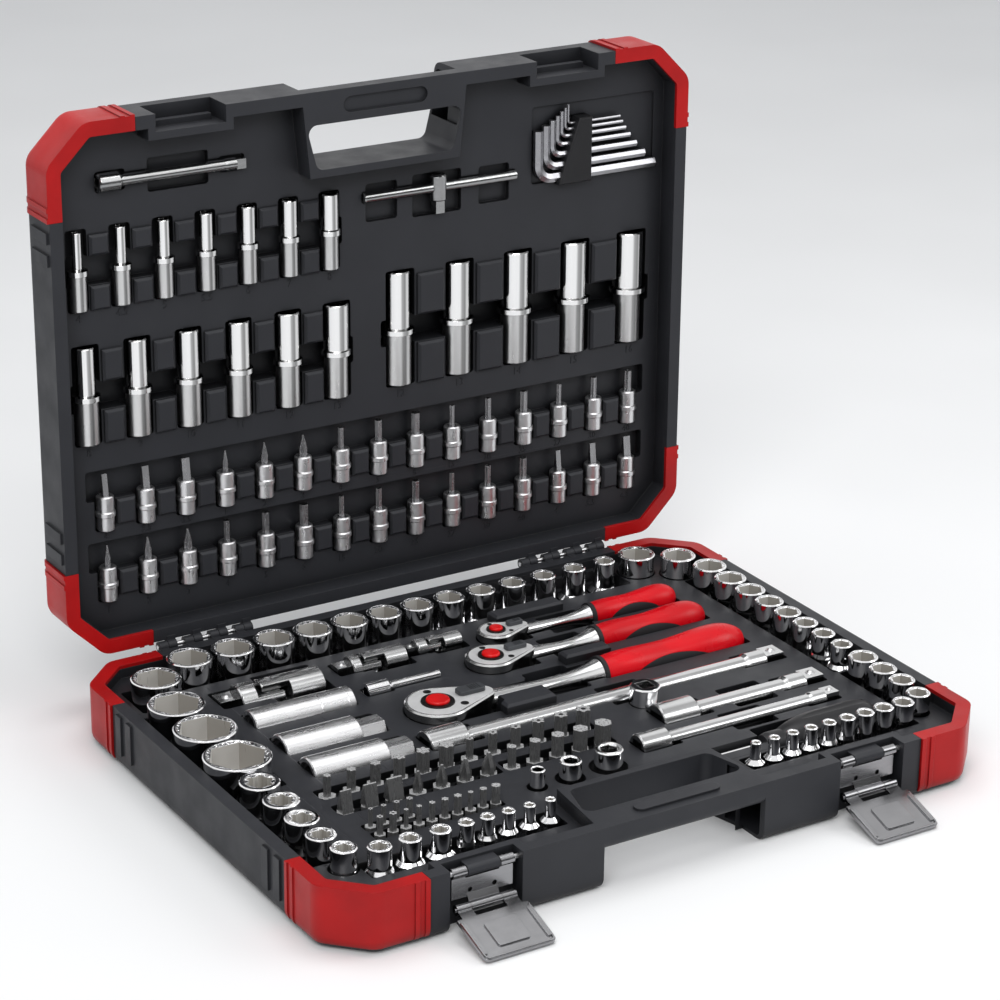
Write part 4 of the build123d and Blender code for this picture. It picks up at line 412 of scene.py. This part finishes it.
# First place across, pitch and height up the lid of each row of deep sockets
DEEP_ROWS = (
    (-207.0, 29.0, 221.5, ("4", "4.5", "5", "5.5", "6", "7", "8")),
    (-204.0, 35.1, 133.5, ("8", "9", "10", "11", "12", "13")),
    (18.5, 44.9, 133.5, ("12", "13", "14", "15", "16")),
)
digits = bmesh.new()
kinds = list(TIP_NUMBERS)
for line, s in enumerate(TIP_ROWS):
    for place in range(TIP_COUNT):
        kind = kinds[(place + 3 * line) // 3 % len(kinds)]
        x = TIP_START + TIP_PITCH * place
        number(digits, TIP_NUMBERS[kind][place % 3], lid_at(x, s, LID_DROP), TIP_TALL)
for x, pitch, s, sizes in DEEP_ROWS:
    for place, size in enumerate(sizes):
        number(digits, size, lid_at(x + pitch * place, s, LID_DROP), DEEP_TALL)
bmesh.ops.remove_doubles(digits, verts=digits.verts, dist=0.001 * MM)
piece("lid_numbers", done(digits, "lid_numbers", False), "lid", TRAY)

# Ridges on the reversing levers; each ratchet has its head's middle and radius
RATCHETS = (
    ("half_inch", -51.5, 24.0, 21.0),
    ("three_eighths", 12.5, 66.0, 16.5),
    ("quarter_inch", 36.0, 98.0, 12.5),
)
RIDGE_SECTION = ((-1.0, -0.1), (-0.5, 0.5), (0.5, 0.5), (1.0, -0.1))  # share of half the width, height
RIDGE_SLOPE = 0.4
RIDGE_COUNT = 5
# Shares of the head's radius
RIDGE_START, RIDGE_PITCH, RIDGE_ASIDE, RIDGE_WIDE, RIDGE_LONG = 1.16, 0.075, 0.12, 0.026, 0.16


def ridge(form, place, wide, long):
    """Add one ridge across a lever; sizes in mm."""
    x, y, z = place
    rows = []
    for share, up in RIDGE_SECTION:
        reach = long - (RIDGE_SLOPE if up > 0 else 0)
        ends = [Vector((x + share * wide, y + way * reach, z + up)) * MM for way in (-1, 1)]
        rows.append([form.verts.new(end) for end in ends])
    for a, b in zip(rows, rows[1:]):
        form.faces.new((a[0], a[1], b[1], b[0]))
    form.faces.new((rows[-1][0], rows[-1][1], rows[0][1], rows[0][0]))
    form.faces.new([row[0] for row in rows])
    form.faces.new([row[1] for row in rows][::-1])


for size, x, y, head in RATCHETS:
    ridges = bmesh.new()
    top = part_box(f"{size}_reversing_lever")[1][2] / MM
    for k in range(RIDGE_COUNT):
        place = (x + head * (RIDGE_START + RIDGE_PITCH * k), y + RIDGE_ASIDE * head, top)
        ridge(ridges, place, RIDGE_WIDE * head, RIDGE_LONG * head)
    label = f"{size}_lever_ridges"
    piece(label, done(ridges, label, False), f"{size}_reverser", LEVER)

# Dished heads of the cover screws
COVER_Z = 37.1
# Shares of the head's radius
SCREW_SPOTS = ((0.05, 0.72), (0.64, -0.48))
SCREW_NECK, SCREW_BRIM = 0.085, 0.125
dishes = bmesh.new()
for size, x, y, head in RATCHETS:
    for across, along in SCREW_SPOTS:
        neck, brim = SCREW_NECK * head, SCREW_BRIM * head
        form = [(0, -0.9), (neck, -0.9), (neck, 0), (brim, 0.02), (brim, 0.1)]
        form += [(0.9 * brim, 0.14), (0.5 * brim, -0.25), (0, -0.25)]
        place = Vector((x + across * head, y + along * head, COVER_Z)) * MM
        spun(dishes, [(r * MM, h * MM) for r, h in form], place, (0, 0, 1), 24)
piece("cover_screw_heads", done(dishes, "cover_screw_heads", False), "base", BLACKED)

# Folded rims on the latch levers


def bead(form, path, up, wide, tall):
    """Add a rounded bead along an open path to a bmesh."""
    section = ((-1, -0.1), (-1, 0.45), (-0.5, 1), (0.5, 1), (1, 0.45), (1, -0.1))
    rings = []
    for k, point in enumerate(path):
        run = (path[min(k + 1, len(path) - 1)] - path[max(k - 1, 0)]).normalized()
        beside = run.cross(up)
        rings.append([form.verts.new(point + beside * wide / 2 * a + up * tall * b) for a, b in section])
    for one, other in zip(rings, rings[1:]):
        for k in range(len(section)):
            n = (k + 1) % len(section)
            form.faces.new((one[k], one[n], other[n], other[k]))
    form.faces.new(rings[0])
    form.faces.new(rings[-1][::-1])


LATCH_X, LATCH_W = 135.0, 46.0
LEVER_L, LEVER_T = 41.0, 2.0
LEVER_PIN = (-170.0, 14.0)
LEVER_REST = radians(73.0)
RIM_W, RIM_H, RIM_INSET, RIM_BEND, RIM_START = 1.6, 1.0, 0.9, 3.0, 11.0
lever_along = Vector((0, -sin(LEVER_REST), -cos(LEVER_REST)))
lever_up = Vector((0, -cos(LEVER_REST), sin(LEVER_REST)))
for name, way in (("left", -1), ("right", 1)):
    reach = LATCH_W / 2 - RIM_INSET
    end = LEVER_L - RIM_INSET
    flat = [(-reach, RIM_START)]
    for turn in (0, 1):
        for k in range(5):
            angle = pi - turn * pi / 2 - k * pi / 8
            middle = (reach - RIM_BEND) * (2 * turn - 1)
            flat.append((middle + RIM_BEND * cos(angle), end - RIM_BEND + RIM_BEND * sin(angle)))
    flat.append((reach, RIM_START))
    root = Vector((way * LATCH_X, *LEVER_PIN)) + lever_up * LEVER_T / 2
    path = [(root + Vector((u, 0, 0)) + lever_along * v) * MM for u, v in flat]
    rim = bmesh.new()
    bead(rim, path, lever_up, RIM_W * MM, RIM_H * MM)
    label = f"latch_lever_{name}_rim"
    piece(label, done(rim, label, False), f"latch_lever_{name}", LATCH)

# Spring balls in the drive squares, each in its staked ring
BALL_SHARE = 0.17
# Place on top of the square, and the width of the square
BALL_SPOTS = (
    (176.0, -12.0, 34.05, 12.7),
    (178.0, -52.0, 34.05, 12.7),
    (171.8, -80.0, 35.065, 9.53),
    (-157.9, 103.0, 32.85, 12.7),
    (-74.5, 106.0, 34.265, 9.53),
    (-23.7, 107.0, 35.175, 6.35),
    (20.0, -109.0, 28.175, 6.35),
)
balls = bmesh.new()
for x, y, z, square in BALL_SPOTS:
    r = BALL_SHARE * square * MM
    form = [(0, -0.0001), (1.5 * r, -0.0001), (1.4 * r, 0.12 * r), (1.1 * r, 0.1 * r), (r, 0.02 * r)]
    form += [(r * cos(pi * k / 10), 0.7 * r * sin(pi * k / 10)) for k in range(1, 5)] + [(0, 0.7 * r)]
    spun(balls, form, Vector((x, y, z)) * MM, (0, 0, 1))
piece("drive_balls", done(balls, "drive_balls"), "base", SATIN)

# Linings inside the standing sockets, in satin steel with painted light and shade on their flats
ROW_GAP = 1.9
RIM_Z = 40.0
FLARE = 0.35  # how far the lead-in's round passes the recess
LINED = 0.49  # share of a socket's length
HEX_CORNERS = 1.1547  # across corners for one across flats
walls = bmesh.new()
lead_ins = bmesh.new()


def in_row(start, widths, way):
    """Places of neighbours that stand side by side, as wide as given."""
    places = [start]
    for one, other in zip(widths, widths[1:]):
        places.append(places[-1] + way * ((one + other) / 2 + ROW_GAP))
    return places


def hexagon(size, steps=36):
    """Six-sided outline across its flats."""
    points = []
    for k in range(steps):
        angle = 2 * pi * k / steps
        reach = size / 2 / cos(angle % (pi / 3) - pi / 6)
        points.append((reach * cos(angle), reach * sin(angle)))
    return points


def star(across, steps=72):
    """Six-lobed outline of a star recess."""
    hub, lobe = 0.385 * across, 0.115 * across
    points = []
    for k in range(steps):
        angle = 2 * pi * k / steps
        off = (angle + pi / 6) % (pi / 3) - pi / 6
        inside = lobe**2 - (hub * sin(off)) ** 2
        reach = max(hub, hub * cos(off) + inside**0.5) if inside > 0 else hub
        points.append((reach * cos(angle), reach * sin(angle)))
    return points


def sleeve(form, outline, across, place, rings):
    """Thin closed sleeve in a recess: rings are (gap to the wall, or None for a round, depth)."""
    x, y, top = place
    loops = []
    for gap, depth in rings:
        loop = []
        for u, v in outline:
            scale = 1 - 2 * gap / across if gap else (across / 2 + FLARE) / (u * u + v * v) ** 0.5
            loop.append(form.verts.new(Vector((x + u * scale, y + v * scale, top - depth)) * MM))
        loops.append(loop)
    count = len(outline)
    for k, loop in enumerate(loops):
        after = loops[(k + 1) % len(loops)]
        for n in range(count):
            form.faces.new((loop[n], after[n], after[(n + 1) % count], loop[(n + 1) % count]))


def lining(outline, flats, across, x, y, top, deep):
    """Satin wall and bright lead-in of one recess."""
    sleeve(walls, outline, flats, (x, y, top), ((0.12, 0.8), (0.4, 0.8), (0.4, deep), (0.12, deep)))
    sleeve(lead_ins, outline, across, (x, y, top), ((None, 0.08), (0.4, 0.78), (0.1, 0.79)))


def outsides(sizes, drive):
    """Outside widths of sockets: a share of the size and more, but no less than the drive end."""
    share, more, least = drive
    return [max(share * size + more, least) for size in sizes]


HALF = (1.22, 2.5, 22.6)
MIDDLE = (1.25, 1.5, 17.4)
SMALL = (1.25, 1.5, 11.8)
half_sizes = (22, 21, 20, 19, 18, 17, 16, 15, 14, 13, 12, 11, 10)
big_sizes = (27, 30, 32)
middle_sizes = (17, 16, 15, 14, 13, 12, 11, 10)
side_sizes = (14, 13, 12)
small_sizes = (10, 9, 8, 7, 6, 5.5, 5, 4.5, 4)
# Size, place, rise above the case's rim and length of each standing socket
standing = [(24, -194.0, 127.0, 5.0, 38.0)]
for size, x in zip(half_sizes, in_row(-162.5, outsides(half_sizes, HALF), 1)):
    standing.append((size, x, 144.0, 5.0, 38.0))
for size, y in zip(big_sizes, in_row(85.0, outsides(big_sizes, HALF), -1)):
    standing.append((size, -200.5, y, 6.5, 42.0))
standing += [(19, 176.0, 143.0, 5.0, 29.0), (18, 199.5, 127.0, 5.0, 29.0)]
for size, y in zip(middle_sizes, in_row(101.5, outsides(middle_sizes, MIDDLE), -1)):
    standing.append((size, 208.0, y, 5.0, 29.0))
for size, y in zip(side_sizes, in_row(-67.5, outsides(side_sizes, SMALL), -1)):
    standing.append((size, 208.0, y, 5.0, 25.0))
standing.append((11, 205.0, -126.5, 5.0, 25.0))
for size, x in zip(small_sizes, in_row(188.5, outsides(small_sizes, SMALL), -1)):
    standing.append((size, x, -132.5, 5.0, 25.0))
for size, x, y, rise, length in standing:
    lining(hexagon(size), size, HEX_CORNERS * size, x, y, RIM_Z + rise, LINED * length)
STAR_RISE = 5.0
STAR_SHARE = 0.72  # recess across its points for one of the outside
STAR_WALLS = (24.4, 21.8, 20.4, 18.0, 15.6, 14.5, 13.4, 12.9, 9.9, 9.0, 8.3, 7.4, 6.6)
STAR_FEET = (22.6,) * 2 + (17.4,) * 6 + (11.8,) * 5
STAR_LENGTHS = (38.0,) * 2 + (29.0,) * 6 + (25.0,) * 5
star_feet = [max(pair) for pair in zip(STAR_WALLS, STAR_FEET)]
star_spots = [(-203.0, y) for y in in_row(-29.5, [foot + 1.5 for foot in star_feet[:4]], -1)]
star_spots.append((-199.5, -124.0))
star_spots += [(x, -132.5) for x in in_row(-181.5, [foot + 0.4 for foot in star_feet[5:]], 1)]
for wall, length, (x, y) in zip(STAR_WALLS, STAR_LENGTHS, star_spots):
    across = STAR_SHARE * wall
    lining(star(across), across, across, x, y, RIM_Z + STAR_RISE, LINED * length)
piece("socket_linings", done(walls, "socket_linings", False), "base", BORE)
piece("socket_lead_ins", done(lead_ins, "socket_lead_ins", False), "base", CHROME)

# Floor, light and camera
FLOOR = 6
SQUARE = ((-1, -1), (1, -1), (1, 1), (-1, 1))
floor_mesh = bpy.data.meshes.new("floor")
floor_mesh.from_pydata([(FLOOR * a, FLOOR * b, 0) for a, b in SQUARE], [], [(0, 1, 2, 3)])
floor = bpy.data.objects.new("floor", floor_mesh)
scene.collection.objects.link(floor)
ground = Shade("floor_white")
ground.bsdf.inputs["Roughness"].default_value = 0.8
tone = ground.ramp(ground.noise(3, 2), (0.86, 0.86, 0.86, 1), (0.9, 0.9, 0.9, 1))
ground.link(tone, ground.bsdf.inputs["Base Color"])
floor_mesh.materials.append(ground.mat)

world = bpy.data.worlds.new("studio")
scene.world = world
world.use_nodes = True
tree = world.node_tree
back = tree.nodes["Background"]
back.inputs["Color"].default_value = (0.9, 0.92, 0.95, 1)
back.inputs["Strength"].default_value = 0.55
white = tree.nodes.new("ShaderNodeBackground")
white.inputs["Color"].default_value = (1, 1, 1, 1)
white.inputs["Strength"].default_value = 1.0
rays = tree.nodes.new("ShaderNodeLightPath")
mix = tree.nodes.new("ShaderNodeMixShader")
seen = rays.outputs["Is Camera Ray"]
for kind in ("Is Glossy Ray", "Is Transmission Ray"):
    either = tree.nodes.new("ShaderNodeMath")
    either.operation = "MAXIMUM"
    tree.links.new(seen, either.inputs[0])
    tree.links.new(rays.outputs[kind], either.inputs[1])
    seen = either.outputs[0]
tree.links.new(seen, mix.inputs["Fac"])
tree.links.new(back.outputs[0], mix.inputs[1])
tree.links.new(white.outputs[0], mix.inputs[2])
tree.links.new(mix.outputs[0], tree.nodes["World Output"].inputs["Surface"])


def lamp(name, place, aim, size, power):
    light = bpy.data.lights.new(name, "AREA")
    light.shape = "RECTANGLE"
    light.size = size[0]
    light.size_y = size[1]
    light.energy = power
    obj = bpy.data.objects.new(name, light)
    scene.collection.objects.link(obj)
    obj.location = place
    obj.rotation_euler = (Vector(aim) - Vector(place)).to_track_quat("-Z", "Y").to_euler()


lamp("key", (-1.1, -1.3, 1.7), (0, 0, 0.1), (1.2, 0.9), 22)
lamp("fill", (1.5, -0.9, 1.2), (0, 0, 0.15), (1.0, 1.0), 9)
lamp("top", (0.1, 0.1, 1.9), (0, 0.05, 0), (1.4, 1.0), 12)


def card_paint(name, tone):
    shade = Shade(name)
    low, high = ((tone * f, tone * f, tone * f, 1) for f in (0.9, 1.1))
    shade.link(shade.ramp(shade.noise(5, 2), low, high), shade.bsdf.inputs["Base Color"])
    shade.bsdf.inputs["Roughness"].default_value = 0.9
    return shade.mat


def card(name, bearing, wide, far, low, high, tone):
    """Upright card beside the set, seen only in the polished steel."""
    mid = Vector((cos(bearing), sin(bearing), 0)) * far
    across = Vector((-sin(bearing), cos(bearing), 0)) * wide / 2
    mesh = bpy.data.meshes.new(name)
    corners = [mid - across, mid + across]
    points = [c + Vector((0, 0, z)) for z, row in ((low, corners), (high, corners[::-1])) for c in row]
    mesh.from_pydata(points, [], [(0, 1, 2, 3)])
    mesh.materials.append(card_paint(name, tone))
    obj = bpy.data.objects.new(name, mesh)
    scene.collection.objects.link(obj)
    obj.visible_camera = False
    obj.visible_diffuse = False
    obj.visible_transmission = False
    obj.visible_shadow = False


card("card_right", radians(-55), wide=0.3, far=1.5, low=0.0, high=1.5, tone=0.02)
card("card_left", radians(-172), wide=0.3, far=1.5, low=0.0, high=1.3, tone=0.02)
for k in range(6):
    card(f"card_low_{k}", radians(-205 + 34 * k), wide=1.0, far=1.6, low=0.01, high=0.8, tone=0.1)

AZIMUTH = radians(-31.88)
TILT = radians(21.96)
ROLL = radians(0.83)
AIM = Vector((5.09, 45.67, 152.41)) * MM
FAR = 1.9142
SENSOR, LENS = 36, 111.4
back_axis = Vector((sin(AZIMUTH) * cos(TILT), -cos(AZIMUTH) * cos(TILT), sin(TILT)))
right = Vector((cos(AZIMUTH), sin(AZIMUTH), 0))
upward = back_axis.cross(right)
side = cos(ROLL) * right + sin(ROLL) * upward
top = cos(ROLL) * upward - sin(ROLL) * right
camera_data = bpy.data.cameras.new("camera")
camera_data.sensor_width = SENSOR
camera_data.lens = LENS
camera = bpy.data.objects.new("camera", camera_data)
scene.collection.objects.link(camera)
turn = Matrix((side, top, back_axis)).transposed().to_4x4()
camera.matrix_world = Matrix.Translation(AIM + back_axis * FAR) @ turn
scene.camera = camera
